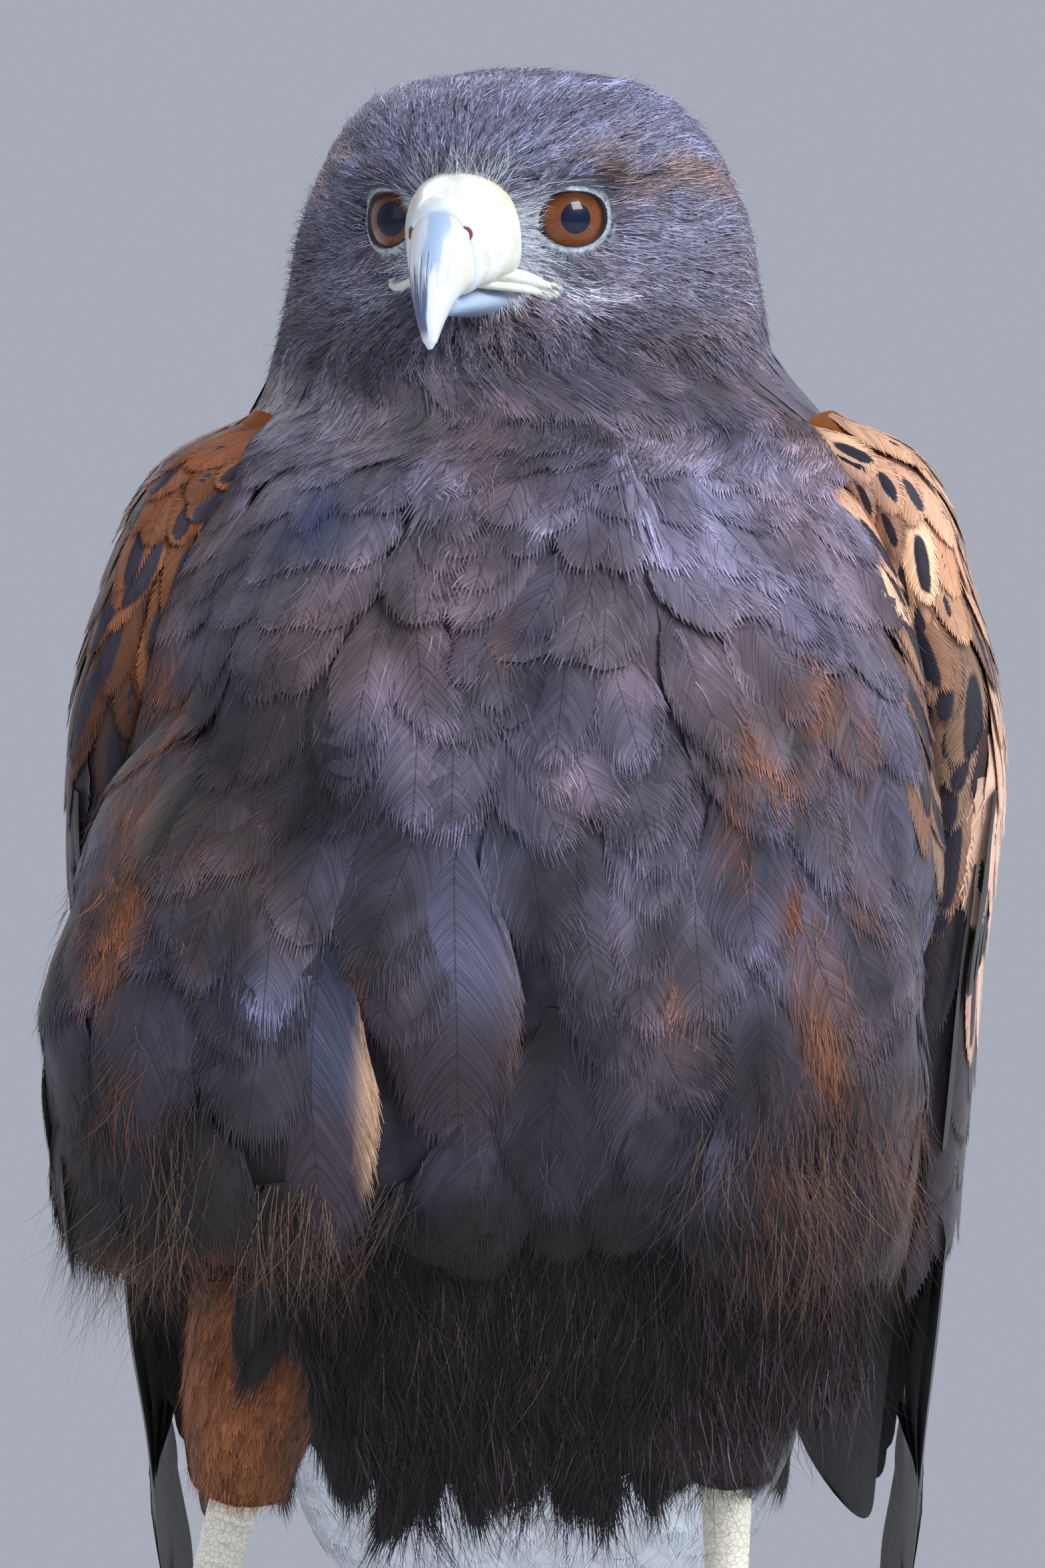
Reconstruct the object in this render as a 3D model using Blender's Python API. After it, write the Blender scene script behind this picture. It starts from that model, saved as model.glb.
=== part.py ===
"""A harris hawk at life size, standing on a flat floor with its head turned to its right.

Metres, +Z up. The bird faces -Y, so its left side is at +X. The floor is at z = 0, and the bird's
left foot, right foot and tail tip rest on it. Head, neck and torso are one lofted form, parted by
thin level gaps. What grows from it is carved clear of it by the same gap.
"""

import math

import bmesh
import bpy
import numpy as np

# Driving dimensions
GAP = 0.0003
RING_SIDES = 30

# The head: centre, turn to the bird's right, and level sections in the head's own frame
HEAD_CENTRE = np.array([-0.0035, -0.008, 0.305])
HEAD_TURN = math.radians(19)
# height, half width, reach forward, reach back, power of the front's curve
HEAD_SECTIONS = np.array([
    [0.2830, 0.0455, 0.0290, 0.0440, 1.70],
    [0.2900, 0.0445, 0.0265, 0.0440, 1.40],
    [0.2970, 0.0432, 0.0280, 0.0445, 1.18],
    [0.3040, 0.0420, 0.0315, 0.0450, 1.08],
    [0.3100, 0.0403, 0.0340, 0.0445, 1.08],
    [0.3160, 0.0376, 0.0345, 0.0430, 1.24],
    [0.3220, 0.0342, 0.0310, 0.0400, 1.48],
    [0.3270, 0.0300, 0.0255, 0.0355, 1.75],
    [0.3310, 0.0245, 0.0190, 0.0285, 2.00],
    [0.3336, 0.0172, 0.0115, 0.0200, 2.00],
    [0.3349, 0.0080, 0.0040, 0.0095, 2.00],
])
HEAD_BACK_POWER = 2.1

# height, half width at left and at right, y of front, of the widest place and of the back, and powers
TORSO_SECTIONS = np.array([
    [0.0840, 0.0240, 0.0260, -0.0020, 0.0160, 0.0400, 2.0, 2.0],
    [0.0880, 0.0350, 0.0380, -0.0110, 0.0170, 0.0520, 2.0, 2.0],
    [0.0960, 0.0450, 0.0480, -0.0220, 0.0180, 0.0640, 2.0, 2.0],
    [0.1080, 0.0510, 0.0525, -0.0330, 0.0120, 0.0740, 2.0, 1.9],
    [0.1220, 0.0560, 0.0575, -0.0440, 0.0080, 0.0815, 2.1, 1.9],
    [0.1400, 0.0615, 0.0630, -0.0555, 0.0020, 0.0850, 2.2, 1.8],
    [0.1620, 0.0670, 0.0690, -0.0660, -0.0030, 0.0830, 2.3, 1.8],
    [0.1850, 0.0715, 0.0730, -0.0728, -0.0040, 0.0780, 2.3, 1.9],
    [0.2080, 0.0750, 0.0745, -0.0750, 0.0000, 0.0715, 2.3, 2.1],
    [0.2300, 0.0725, 0.0710, -0.0718, 0.0000, 0.0660, 2.2, 2.2],
    [0.2500, 0.0660, 0.0640, -0.0635, 0.0000, 0.0600, 2.1, 2.2],
    [0.2650, 0.0590, 0.0565, -0.0535, 0.0000, 0.0535, 2.0, 2.2],
    [0.2760, 0.0530, 0.0510, -0.0460, 0.0000, 0.0480, 2.0, 2.2],
])
NECK_BLEND = (0.2660, 0.2860)
TORSO_TOP = 0.2700
NECK_TOP = 0.2860
# The loose flank plumage in front of each wing: centre and half sizes
FLANKS = {
    "left": ((0.0400, -0.0310, 0.1580), (0.0305, 0.0300, 0.0520)),
    "right": ((-0.0500, -0.0360, 0.1560), (0.0365, 0.0290, 0.0520)),
}

# Eyes, in the head's frame: across, forward, up from the head's centre
EYE_RADIUS = 0.0085
EYE_FRONT = (0.0188, 0.0215, 0.0033)
EYE_TURN = math.radians(37)
LID_RADIUS = 0.0013
ORBIT_RADIUS = 0.0150
ORBIT_OUT = 0.0116

# Bill: profile of the upper bill in the head's frame as rows of
# forward and up of the ridge, forward and up of the cutting edge, and half width
BILL_SECTIONS = np.array([
    [0.0266, 0.0122, 0.0240, -0.0078, 0.0084],
    [0.0310, 0.0122, 0.0270, -0.0085, 0.0108],
    [0.0360, 0.0108, 0.0325, -0.0093, 0.0090],
    [0.0400, 0.0082, 0.0360, -0.0100, 0.0074],
    [0.0436, 0.0046, 0.0386, -0.0106, 0.0063],
    [0.0466, 0.0002, 0.0406, -0.0114, 0.0054],
    [0.0486, -0.0050, 0.0424, -0.0122, 0.0045],
    [0.0496, -0.0102, 0.0440, -0.0140, 0.0034],
    [0.0494, -0.0155, 0.0456, -0.0168, 0.0022],
    [0.0478, -0.0205, 0.0466, -0.0202, 0.0009],
])
CERE_SECTIONS = 4.0
BILL_SIDES = 14

# Wings: the outer outline seen from the front as height and distance from the middle plane
WING_OUTLINE = {
    "left": np.array([
        [0.0100, 0.0600], [0.0400, 0.0650], [0.0660, 0.0688], [0.0870, 0.0715], [0.1150, 0.0751],
        [0.1500, 0.0786], [0.1760, 0.0810], [0.1930, 0.0833], [0.2070, 0.0847], [0.2190, 0.0840],
        [0.2330, 0.0815], [0.2430, 0.0785], [0.2566, 0.0748], [0.2680, 0.0680], [0.2850, 0.0500],
    ]),
    "right": np.array([
        [0.0100, 0.0590], [0.0400, 0.0645], [0.0660, 0.0682], [0.0870, 0.0712], [0.1110, 0.0752],
        [0.1280, 0.0766], [0.1500, 0.0790], [0.1760, 0.0822], [0.1860, 0.0836], [0.2070, 0.0844],
        [0.2210, 0.0836], [0.2420, 0.0782], [0.2600, 0.0710], [0.2700, 0.0630], [0.2850, 0.0470],
    ]),
}
# The y at which a wing stands out farthest, and how strongly it bends in behind and before it
WING_WIDEST = np.array([
    [0.0100, 0.1250], [0.0600, 0.0850], [0.1000, 0.0520], [0.1400, 0.0250],
    [0.1800, 0.0060], [0.2200, -0.0020], [0.2700, 0.0000],
])
WING_BEND = np.array([
    [0.0200, 1.5], [0.0900, 2.0], [0.1300, 3.0], [0.1700, 6.0], [0.2100, 8.0], [0.2700, 9.0],
])
WING_FRONT_BEND = 4.0
# The leading edge as a bent line from the shoulder to the wing tip, as y and z of its three guides
WING_EDGE = np.array([[-0.0230, 0.2790], [-0.0520, 0.1300], [0.1350, 0.0180]])
WING_LENGTH = 0.3120
# The shoulder's coverts and the core under the other feathers end in steps: distance along the
# leading edge and how far the core then lies below the wing's outer face
WING_STEPS = np.array([
    [0.0850, 0.0], [0.0890, 0.0030], [0.1060, 0.0030], [0.1100, 0.0056],
    [0.1420, 0.0056], [0.1460, 0.0096], [0.1600, 0.0096], [0.1640, 0.0130],
])
CORE_CHORD = np.array([[0.0, 0.0540], [0.0300, 0.0780], [0.0700, 0.0870], [0.1250, 0.0850],
                       [0.1640, 0.0740]])
CORE_INNER = 0.0148
VANE = 0.00055
# Each tier: count, distance along of root and of tips at front and at back, distance back of the
# roots' and tips' first and last vane, width, depth of its middle, and slope that shingles it
WING_TIERS = {
    "median coverts": (9, 0.0740, 0.1130, 0.1080, (0.0060, 0.0800), (0.0060, 0.0800),
                       0.0135, 0.0018, 0.125),
    "greater coverts": (10, 0.0950, 0.1500, 0.1320, (0.0050, 0.0800), (0.0050, 0.0780),
                        0.0135, 0.0043, 0.125),
    "secondaries": (10, 0.1300, 0.2080, 0.1740, (0.0240, 0.0770), (0.0190, 0.0680),
                    0.0175, 0.0079, 0.180),
}
PRIMARY_TIPS = (0.2620, 0.2860, 0.3030, 0.3120, 0.3060, 0.2900, 0.2680, 0.2460, 0.2260)
PRIMARY_ROOT = 0.1450
PRIMARY_BACK = (0.0095, 0.0042)
PRIMARY_TIP_BACK = (0.0085, 0.0036)
PRIMARY_WIDTH = 0.0155
PRIMARY_DEPTH = (0.0030, 0.0126)
PRIMARY_SLOPE = 0.250
STATION = 0.0200

# Tail: guides of its middle line as y and z, from inside the rump to the floor. The middle pair of
# feathers lies on top, and the others lie below them like shingles, the outer ones lowest.
TAIL_RANKS = 6
TAIL_PITCH = 0.0009
TAIL_GUIDES = np.array([[0.0600, 0.1400], [0.1150, 0.0880], [0.1750, 0.0048], [0.2450, 0.0048]])
TAIL_DEPTH = 0.0056
TAIL_ROOT_HALF = 0.0160
TAIL_MIDDLE_GAP = 0.00035
# share of the tail's length, spacing of neighbouring shafts and half width of a vane
TAIL_SPREAD = np.array([[0.0, 0.0019, 0.0030], [0.15, 0.0024, 0.0045], [0.35, 0.0034, 0.0075],
                        [0.65, 0.0046, 0.0100], [0.90, 0.0054, 0.0112], [1.0, 0.0057, 0.0112]])
TAIL_STATIONS = (0.22, 0.34, 0.44, 0.54, 0.63, 0.72, 0.80, 0.88, 0.955, 0.985, 1.0)

# Legs: middle line of each thigh as points with radius, then ankle joint and foot
THIGHS = {
    "left": [((0.0330, 0.0000, 0.1500), 0.0225), ((0.0350, -0.0030, 0.1200), 0.0175),
             ((0.0352, 0.0025, 0.1000), 0.0128), ((0.0345, 0.0100, 0.0842), 0.0082)],
    "right": [((-0.0350, -0.0030, 0.1500), 0.0225), ((-0.0435, -0.0050, 0.1200), 0.0175),
              ((-0.0505, 0.0020, 0.0980), 0.0128), ((-0.0532, 0.0100, 0.0812), 0.0084)],
}
FEET = {"left": (0.0345, 0.0020), "right": (-0.0740, 0.0010)}
ANKLE_HEIGHT = 0.0240
TARSUS_RADIUS = 0.0039
TOE_HEIGHT = 0.0078
# heading from straight ahead toward the body's middle plane, toe length, claw length
TOES = {
    "middle": (-4, 0.0420, 0.0200),
    "inner": (40, 0.0290, 0.0250),
    "outer": (-44, 0.0330, 0.0180),
    "hind": (170, 0.0250, 0.0270),
}

# Colour, roughness of each material
MATERIALS = {
    "plumage_brown": ((0.105, 0.085, 0.110), 0.85),
    "plumage_dark": ((0.028, 0.022, 0.028), 0.80),
    "plumage_rufous": ((0.330, 0.120, 0.045), 0.85),
    "plumage_white": ((0.600, 0.620, 0.660), 0.85),
    "eye_brown": ((0.250, 0.080, 0.022), 0.12),
    "cere_yellow": ((0.820, 0.780, 0.480), 0.45),
    "bill_horn": ((0.420, 0.520, 0.640), 0.35),
    "skin_yellow": ((0.780, 0.640, 0.330), 0.55),
    "claw_black": ((0.015, 0.015, 0.020), 0.30),
}


def material(name):
    """Finds or makes one of the model's materials."""
    found = bpy.data.materials.get(name)
    if found:
        return found
    colour, roughness = MATERIALS[name]
    made = bpy.data.materials.new(name)
    made.use_nodes = True
    shader = made.node_tree.nodes["Principled BSDF"]
    shader.inputs["Base Color"].default_value = (*colour, 1.0)
    shader.inputs["Roughness"].default_value = roughness
    shader.inputs["Metallic"].default_value = 0.0
    return made


def new_object(name, points, faces, finish=None):
    """Makes a closed mesh object whose faces look outward."""
    mesh = bpy.data.meshes.new(name)
    mesh.from_pydata([tuple(map(float, point)) for point in points], [], faces)
    shaped = bmesh.new()
    shaped.from_mesh(mesh)
    bmesh.ops.recalc_face_normals(shaped, faces=shaped.faces)
    shaped.to_mesh(mesh)
    shaped.free()
    made = bpy.data.objects.new(name, mesh)
    bpy.context.scene.collection.objects.link(made)
    if finish:
        mesh.materials.append(material(finish))
    return made


def loft(name, rings, finish=None):
    """Skins rings of equal point counts and closes both ends with a fan."""
    rings = np.asarray(rings)
    count, sides = rings.shape[:2]
    points = list(rings.reshape(-1, 3)) + [rings[0].mean(0), rings[-1].mean(0)]
    faces = []
    for row in range(count - 1):
        for side in range(sides):
            here = row * sides + side
            beside = row * sides + (side + 1) % sides
            faces.append((here, beside, beside + sides, here + sides))
    for centre, row in ((count * sides, 0), (count * sides + 1, count - 1)):
        for side in range(sides):
            faces.append((centre, row * sides + side, row * sides + (side + 1) % sides))
    return new_object(name, points, faces, finish)


def slab(name, outer, inner, finish=None):
    """Closes two grids of points, split into triangles alike, into one thin body."""
    rows, columns = outer.shape[:2]
    points = np.concatenate([outer.reshape(-1, 3), inner.reshape(-1, 3)])
    under = rows * columns
    faces = []
    for row in range(rows - 1):
        for column in range(columns - 1):
            corner = row * columns + column
            for triangle in ((corner, corner + 1, corner + columns + 1),
                             (corner, corner + columns + 1, corner + columns)):
                faces.append(triangle)
                faces.append(tuple(under + index for index in reversed(triangle)))
    rim = [column for column in range(columns)]
    rim += [row * columns + columns - 1 for row in range(1, rows)]
    rim += [(rows - 1) * columns + column for column in range(columns - 2, -1, -1)]
    rim += [row * columns for row in range(rows - 2, 0, -1)]
    for here, beside in zip(rim, rim[1:] + rim[:1]):
        faces.append((here, under + here, under + beside))
        faces.append((here, under + beside, beside))
    return new_object(name, points, faces, finish)


def ellipsoid(name, centre, half_sizes, turn=None, segments=16, rings=10):
    """A stretched ball, turned by a 3 x 3 matrix if one is given."""
    points = [(0, 0, 1), (0, 0, -1)]
    faces = []
    for row in range(1, rings):
        for side in range(segments):
            down, around = math.pi * row / rings, 2 * math.pi * side / segments
            points.append((math.sin(down) * math.cos(around), math.sin(down) * math.sin(around),
                           math.cos(down)))
    last = 2 + (rings - 2) * segments
    for side in range(segments):
        after = (side + 1) % segments
        faces.append((0, 2 + side, 2 + after))
        faces.append((1, last + after, last + side))
        for row in range(rings - 2):
            start = 2 + row * segments
            faces.append((start + side, start + segments + side, start + segments + after,
                          start + after))
    spread = np.array(points) * half_sizes
    if turn is not None:
        spread = spread @ np.asarray(turn).T
    return new_object(name, spread + np.asarray(centre), faces)


def islands(shaped):
    """Lists the separate surfaces of a bmesh."""
    unseen, found = set(shaped.verts), []
    while unseen:
        stack, members = [unseen.pop()], []
        while stack:
            vertex = stack.pop()
            members.append(vertex)
            for edge in vertex.link_edges:
                other = edge.other_vert(vertex)
                if other in unseen:
                    unseen.remove(other)
                    stack.append(other)
        found.append(members)
    return found


def enclosed(members):
    """The volume that a closed surface encloses."""
    faces = {face for vertex in members for face in vertex.link_faces}
    total = 0.0
    for face in faces:
        corners = [vertex.co for vertex in face.verts]
        for first, second in zip(corners[1:], corners[2:]):
            total += corners[0].dot(first.cross(second)) / 6
    return abs(total)


def join(target, pieces, operation, solver="EXACT"):
    """Fuses pieces with the target, or cuts them from it, and keeps the largest closed surface."""
    group = bpy.data.collections.new(target.name + "_pieces")
    bpy.context.scene.collection.children.link(group)
    for piece in pieces:
        for holder in list(piece.users_collection):
            holder.objects.unlink(piece)
        group.objects.link(piece)
    modifier = target.modifiers.new("Join", "BOOLEAN")
    modifier.operation = operation
    modifier.operand_type = "COLLECTION"
    modifier.collection = group
    modifier.solver = solver
    joined = target.evaluated_get(bpy.context.evaluated_depsgraph_get())
    shaped = bmesh.new()
    shaped.from_mesh(joined.to_mesh())
    joined.to_mesh_clear()
    bmesh.ops.triangulate(shaped, faces=shaped.faces)
    bmesh.ops.remove_doubles(shaped, verts=shaped.verts, dist=2e-6)
    bmesh.ops.dissolve_degenerate(shaped, dist=2e-6, edges=shaped.edges)
    bmesh.ops.triangulate(shaped, faces=shaped.faces)
    surfaces = sorted(islands(shaped), key=enclosed)
    loose = [vertex for members in surfaces[:-1] for vertex in members]
    bmesh.ops.delete(shaped, geom=loose, context="VERTS")
    target.modifiers.remove(modifier)
    shaped.to_mesh(target.data)
    shaped.free()
    for piece in list(group.objects):
        bpy.data.objects.remove(piece)
    bpy.data.collections.remove(group)


def grown(source, distance=GAP):
    """A copy of an object with its surface moved outward, to carve a neighbour clear of it."""
    mesh = source.data.copy()
    shaped = bmesh.new()
    shaped.from_mesh(mesh)
    shaped.normal_update()
    moves = [vertex.normal * (distance * 1.15) for vertex in shaped.verts]
    for vertex, move in zip(shaped.verts, moves):
        vertex.co += move
    shaped.to_mesh(mesh)
    shaped.free()
    copy = bpy.data.objects.new(source.name + "_grown", mesh)
    bpy.context.scene.collection.objects.link(copy)
    return copy


def carve(target, neighbours, distance=GAP):
    """Cuts the target clear of each neighbour by the gap."""
    for neighbour in neighbours:
        join(target, [grown(neighbour, distance)], "DIFFERENCE")


def eased(table, at):
    """Reads a table's columns at a place in its first column along a smooth curve."""
    table = np.asarray(table)
    places, values = table[:, 0], table[:, 1:]
    at = float(np.clip(at, places[0], places[-1]))
    row = int(np.clip(np.searchsorted(places, at) - 1, 0, len(places) - 2))
    slopes = np.gradient(values, places, axis=0)
    span = places[row + 1] - places[row]
    part = (at - places[row]) / span
    return ((2 * part**3 - 3 * part**2 + 1) * values[row]
            + (part**3 - 2 * part**2 + part) * span * slopes[row]
            + (3 * part**2 - 2 * part**3) * values[row + 1]
            + (part**3 - part**2) * span * slopes[row + 1])


def smooth_step(start, end, at):
    """Rises from 0 to 1 between two places."""
    part = np.clip((at - start) / (end - start), 0.0, 1.0)
    return part * part * (3 - 2 * part)


def unit(vector):
    vector = np.asarray(vector, float)
    return vector / np.linalg.norm(vector)


def head_point(across, forward, up):
    """Turns a place in the head's frame into the bird's: across is toward the bird's left."""
    turned = np.array([
        across * math.cos(HEAD_TURN) - forward * math.sin(HEAD_TURN),
        -across * math.sin(HEAD_TURN) - forward * math.cos(HEAD_TURN),
        up,
    ])
    return HEAD_CENTRE + turned


def egg(left, right, front, back, front_power, back_power):
    """A closed outline: across and forward of each point, from the front round by the left."""
    turns = 2 * math.pi * np.arange(RING_SIDES) / RING_SIDES
    power = np.where(np.cos(turns) > 0, front_power, back_power)
    across = np.sign(np.sin(turns)) * np.abs(np.sin(turns)) ** (2 / power)
    forward = np.abs(np.cos(turns)) ** (2 / power)
    across = across * np.where(across > 0, left, right)
    forward = np.where(np.cos(turns) > 0, forward * front, -forward * back)
    return across, forward


def head_ring(height):
    half, front, back, power = eased(HEAD_SECTIONS, height)
    across, forward = egg(half, half, front, back, power, HEAD_BACK_POWER)
    up = height - HEAD_CENTRE[2]
    return np.array([head_point(a, f, up) for a, f in zip(across, forward)])


def torso_ring(height):
    left, right, front, widest, back, front_power, back_power = eased(TORSO_SECTIONS, height)
    across, forward = egg(left, right, widest - front, back - widest, front_power, back_power)
    return np.stack([across, widest - forward, np.full(RING_SIDES, height)], axis=1)


def flesh_ring(height):
    """One level section of the plumage, from the torso's form into the turned head's."""
    low, high = NECK_BLEND
    share = float(smooth_step(low, high, height))
    if share == 0.0:
        return torso_ring(height)
    if share == 1.0:
        return head_ring(height)
    return (1 - share) * torso_ring(height) + share * head_ring(height)


def flesh(name, heights, finish):
    return loft(name, [flesh_ring(height) for height in heights], finish)


def body():
    """Head, neck and torso, each a length of the same form."""
    head = flesh("head", [NECK_TOP + GAP, *np.linspace(0.2905, 0.3310, 10), 0.3336, 0.3347],
                 "plumage_brown")
    neck = flesh("neck", np.linspace(TORSO_TOP + GAP, NECK_TOP, 5), "plumage_brown")
    heights = [*TORSO_SECTIONS[:-2, 0], 0.2600, TORSO_TOP]
    torso = flesh("torso", heights, "plumage_brown")
    flanks = [ellipsoid("flank", centre, sizes) for centre, sizes in FLANKS.values()]
    join(torso, flanks, "UNION")
    return head, neck, torso


def eye_frame(side):
    """Centre and axis of an eye: side is 1 for the bird's left and -1 for its right."""
    across, forward, up = EYE_FRONT
    axis = np.array([side * math.sin(EYE_TURN), math.cos(EYE_TURN), 0.0])
    centre = np.array([side * across, forward, up]) - axis * EYE_RADIUS
    return centre, axis


def lid(side):
    """A raised rim round the eye's opening, wider than it is high."""
    centre, axis = eye_frame(side)
    aside = unit(np.cross(axis, (0, 0, 1)))
    rings = []
    for step in range(20):
        around = 2 * math.pi * step / 20
        open_angle = math.radians(50 + 6 * math.cos(2 * around))
        out = math.cos(around) * aside + math.sin(around) * np.array([0, 0, 1.0])
        spoke = math.cos(open_angle) * axis + math.sin(open_angle) * out
        middle = centre + spoke * (EYE_RADIUS + 0.0003)
        across = unit(out - spoke * out.dot(spoke))
        rings.append([head_point(*(middle + LID_RADIUS * (math.cos(t) * spoke + math.sin(t) * across)))
                      for t in 2 * math.pi * np.arange(6) / 6])
    rings = np.array(rings)
    count, sides = rings.shape[:2]
    faces = []
    for row in range(count):
        for corner in range(sides):
            after, beside = (row + 1) % count, (corner + 1) % sides
            faces.append((row * sides + corner, row * sides + beside,
                          after * sides + beside, after * sides + corner))
    return new_object("lid", rings.reshape(-1, 3), faces)


def eye_opening(side):
    """The oval cone between the lids, from the eye's middle out past the face, as a cutter."""
    centre, axis = eye_frame(side)
    aside = unit(np.cross(axis, (0, 0, 1)))
    rings = []
    for reach in (0.0012, 0.0160):
        ring = []
        for step in range(20):
            around = 2 * math.pi * step / 20
            out = 0.90 * math.cos(around) * aside + 0.78 * math.sin(around) * np.array([0, 0, 1.0])
            ring.append(head_point(*(centre + reach * (axis + out))))
        rings.append(ring)
    return loft("opening", rings)


def orbit(side):
    """The hollow of the face round an eye, as a cutter."""
    centre, axis = eye_frame(side)
    return ellipsoid("orbit", head_point(*(centre + axis * (EYE_RADIUS + ORBIT_OUT))),
                     (ORBIT_RADIUS,) * 3, None, 20, 12)


def brow(side):
    """The ridge over an eye, sloping down toward the bill."""
    centre = head_point(side * 0.0195, 0.0180, 0.0098)
    along = head_point(side * -0.45, 1.0, -0.30) - HEAD_CENTRE
    along = unit(along)
    out = unit(np.cross(along, (0, 0, 1)))
    up = np.cross(out, along)
    return ellipsoid("brow", centre, (0.0115, 0.0040, 0.0024), np.array([along, out, up]).T, 12, 8)


def bill_ring(place):
    """A section of the upper bill: narrow at the ridge and full at the sides."""
    rows = np.arange(len(BILL_SECTIONS))
    table = np.column_stack([rows, BILL_SECTIONS])
    ridge_forward, ridge_up, edge_forward, edge_up, half = eased(table, place)
    ridge, edge = np.array([ridge_forward, ridge_up]), np.array([edge_forward, edge_up])
    points = []
    for step in range(BILL_SIDES):
        around = 2 * math.pi * (step + 0.5) / BILL_SIDES
        power = 0.95 if math.cos(around) > 0 else 0.62
        across = half * math.copysign(abs(math.sin(around)) ** power, math.sin(around))
        share = 0.42 + (0.58 if math.cos(around) > 0 else 0.42) * math.copysign(
            abs(math.cos(around)) ** power, math.cos(around))
        forward, up = edge + (ridge - edge) * share
        points.append(head_point(across, forward, up))
    return np.array(points)


def lower_bill_ring(share):
    """A section of the lower bill, from inside the throat to its blunt tip."""
    forward = 0.0180 + share * 0.0215
    top = -0.0062 - 0.0040 * share
    depth = 0.0080 * (1 - 0.52 * share)
    half = 0.0086 * (1 - share) + 0.0040 * share - 0.0024 * share**4
    points = []
    for step in range(10):
        around = 2 * math.pi * (step + 0.5) / 10
        up = top - depth * (0.5 - 0.5 * math.cos(around))
        points.append(head_point(half * math.sin(around), forward, up))
    return np.array(points)


def gape(side):
    """The fleshy strip along the mouth from the bill back to below the eye."""
    route = np.array([(0.0088, 0.0325, -0.0080), (0.0116, 0.0280, -0.0080),
                      (0.0147, 0.0240, -0.0082), (0.0173, 0.0203, -0.0088)])
    radii = (0.0011, 0.0015, 0.0015, 0.0009)
    along = unit(route[-1] - route[0])
    out = unit(np.cross((0, 0, 1), along))
    rings = []
    for point, radius in zip(route, radii):
        rings.append([head_point(*((point + radius * (math.cos(t) * out + math.sin(t)
                                                      * np.array([0, 0, 1.0]))) * (side, 1, 1)))
                      for t in 2 * math.pi * np.arange(6) / 6])
    return loft("gape", rings)


def face_parts(head):
    """Cere, both bills and eyes, with the head carved to take them."""
    cere = loft("cere", [bill_ring(place) for place in (0.0, 1.0, 2.0, 3.0, CERE_SECTIONS)],
                "cere_yellow")
    join(cere, [gape(1), gape(-1)], "UNION")
    for side in (1, -1):
        nostril = ellipsoid("nostril", head_point(side * 0.0062, 0.0392, 0.0010),
                            (0.0018, 0.0024, 0.0012), None, 8, 6)
        join(cere, [nostril], "DIFFERENCE")
    places = [CERE_SECTIONS + 0.07, 5.0, 6.0, 7.0, 7.6, 8.2, 8.7, 9.0]
    upper = loft("bill_upper", [bill_ring(place) for place in places], "bill_horn")
    lower = loft("bill_lower", [lower_bill_ring(share) for share in (0, 0.35, 0.6, 0.8, 0.93, 1)],
                 "bill_horn")
    carve(lower, [cere, upper])
    join(head, [orbit(1), orbit(-1)], "DIFFERENCE")
    join(head, [lid(1), lid(-1), brow(1), brow(-1)], "UNION")
    for side, name in ((1, "eye_left"), (-1, "eye_right")):
        centre = head_point(*eye_frame(side)[0])
        eye = ellipsoid(name, centre, (EYE_RADIUS,) * 3, None, 18, 10)
        eye.data.materials.append(material("eye_brown"))
        join(head, [eye_opening(side)], "DIFFERENCE")
        carve(head, [eye])
    carve(head, [cere, lower])
    return cere, upper, lower


def wing_edge(along):
    """Place and heading of the leading edge, as y and z, at a distance along it."""
    part = along / WING_LENGTH
    start, bend, end = WING_EDGE
    place = (1 - part) ** 2 * start + 2 * part * (1 - part) * bend + part**2 * end
    heading = unit(2 * (1 - part) * (bend - start) + 2 * part * (end - bend))
    return place, heading


def wing_sheet(side, y, z):
    """How far out the folded wing's outer face lies."""
    outline = eased(WING_OUTLINE[side], z)[0]
    behind = y - eased(WING_WIDEST, z)[0]
    bend = eased(WING_BEND, z)[0] if behind > 0 else WING_FRONT_BEND
    return outline - bend * behind**2


def wing_point(side, along, back, sink):
    """A place on a wing, along its leading edge and back from it, sunk below its outer face."""
    place, heading = wing_edge(along)
    y, z = place + back * np.array([-heading[1], heading[0]])
    step = 0.002
    out = wing_sheet(side, y, z)
    slope_y = (wing_sheet(side, y + step, z) - wing_sheet(side, y - step, z)) / (2 * step)
    slope_z = (wing_sheet(side, y, z + step) - wing_sheet(side, y, z - step)) / (2 * step)
    point = np.array([out, y, z]) - sink * unit((1, -slope_y, -slope_z))
    return point * ((1 if side == "left" else -1), 1, 1)


def vane_width(share):
    """How a vane's width swells from its root and closes at its rounded tip."""
    return float(np.interp(share, [0.0, 0.25, 0.80, 0.93, 1.0], [0.62, 1.0, 1.0, 0.78, 0.34]))


def vane(surface, stations, middle, width, columns):
    """A thin tapering plate whose two faces follow a surface, given as along, back and level."""
    first, last = stations[0], stations[-1]
    faces = []
    for level in (0.0, VANE):
        grid = []
        for along in stations:
            share = (along - first) / (last - first)
            half = 0.5 * width * vane_width(share)
            back = middle(share)
            grid.append([surface(along, back, offset * half, level)
                         for offset in np.linspace(-1, 1, columns)])
        faces.append(np.array(grid))
    return slab("vane", faces[0], faces[1])


def stations_between(first, last):
    """Shared stations along a feather tier, with more near the tip for its round end."""
    shared = STATION * np.arange(1, 60)
    inner = [place for place in shared if first + 0.004 < place < last - 0.016]
    return [first, *inner, last - 0.011, last - 0.004, last]


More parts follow.
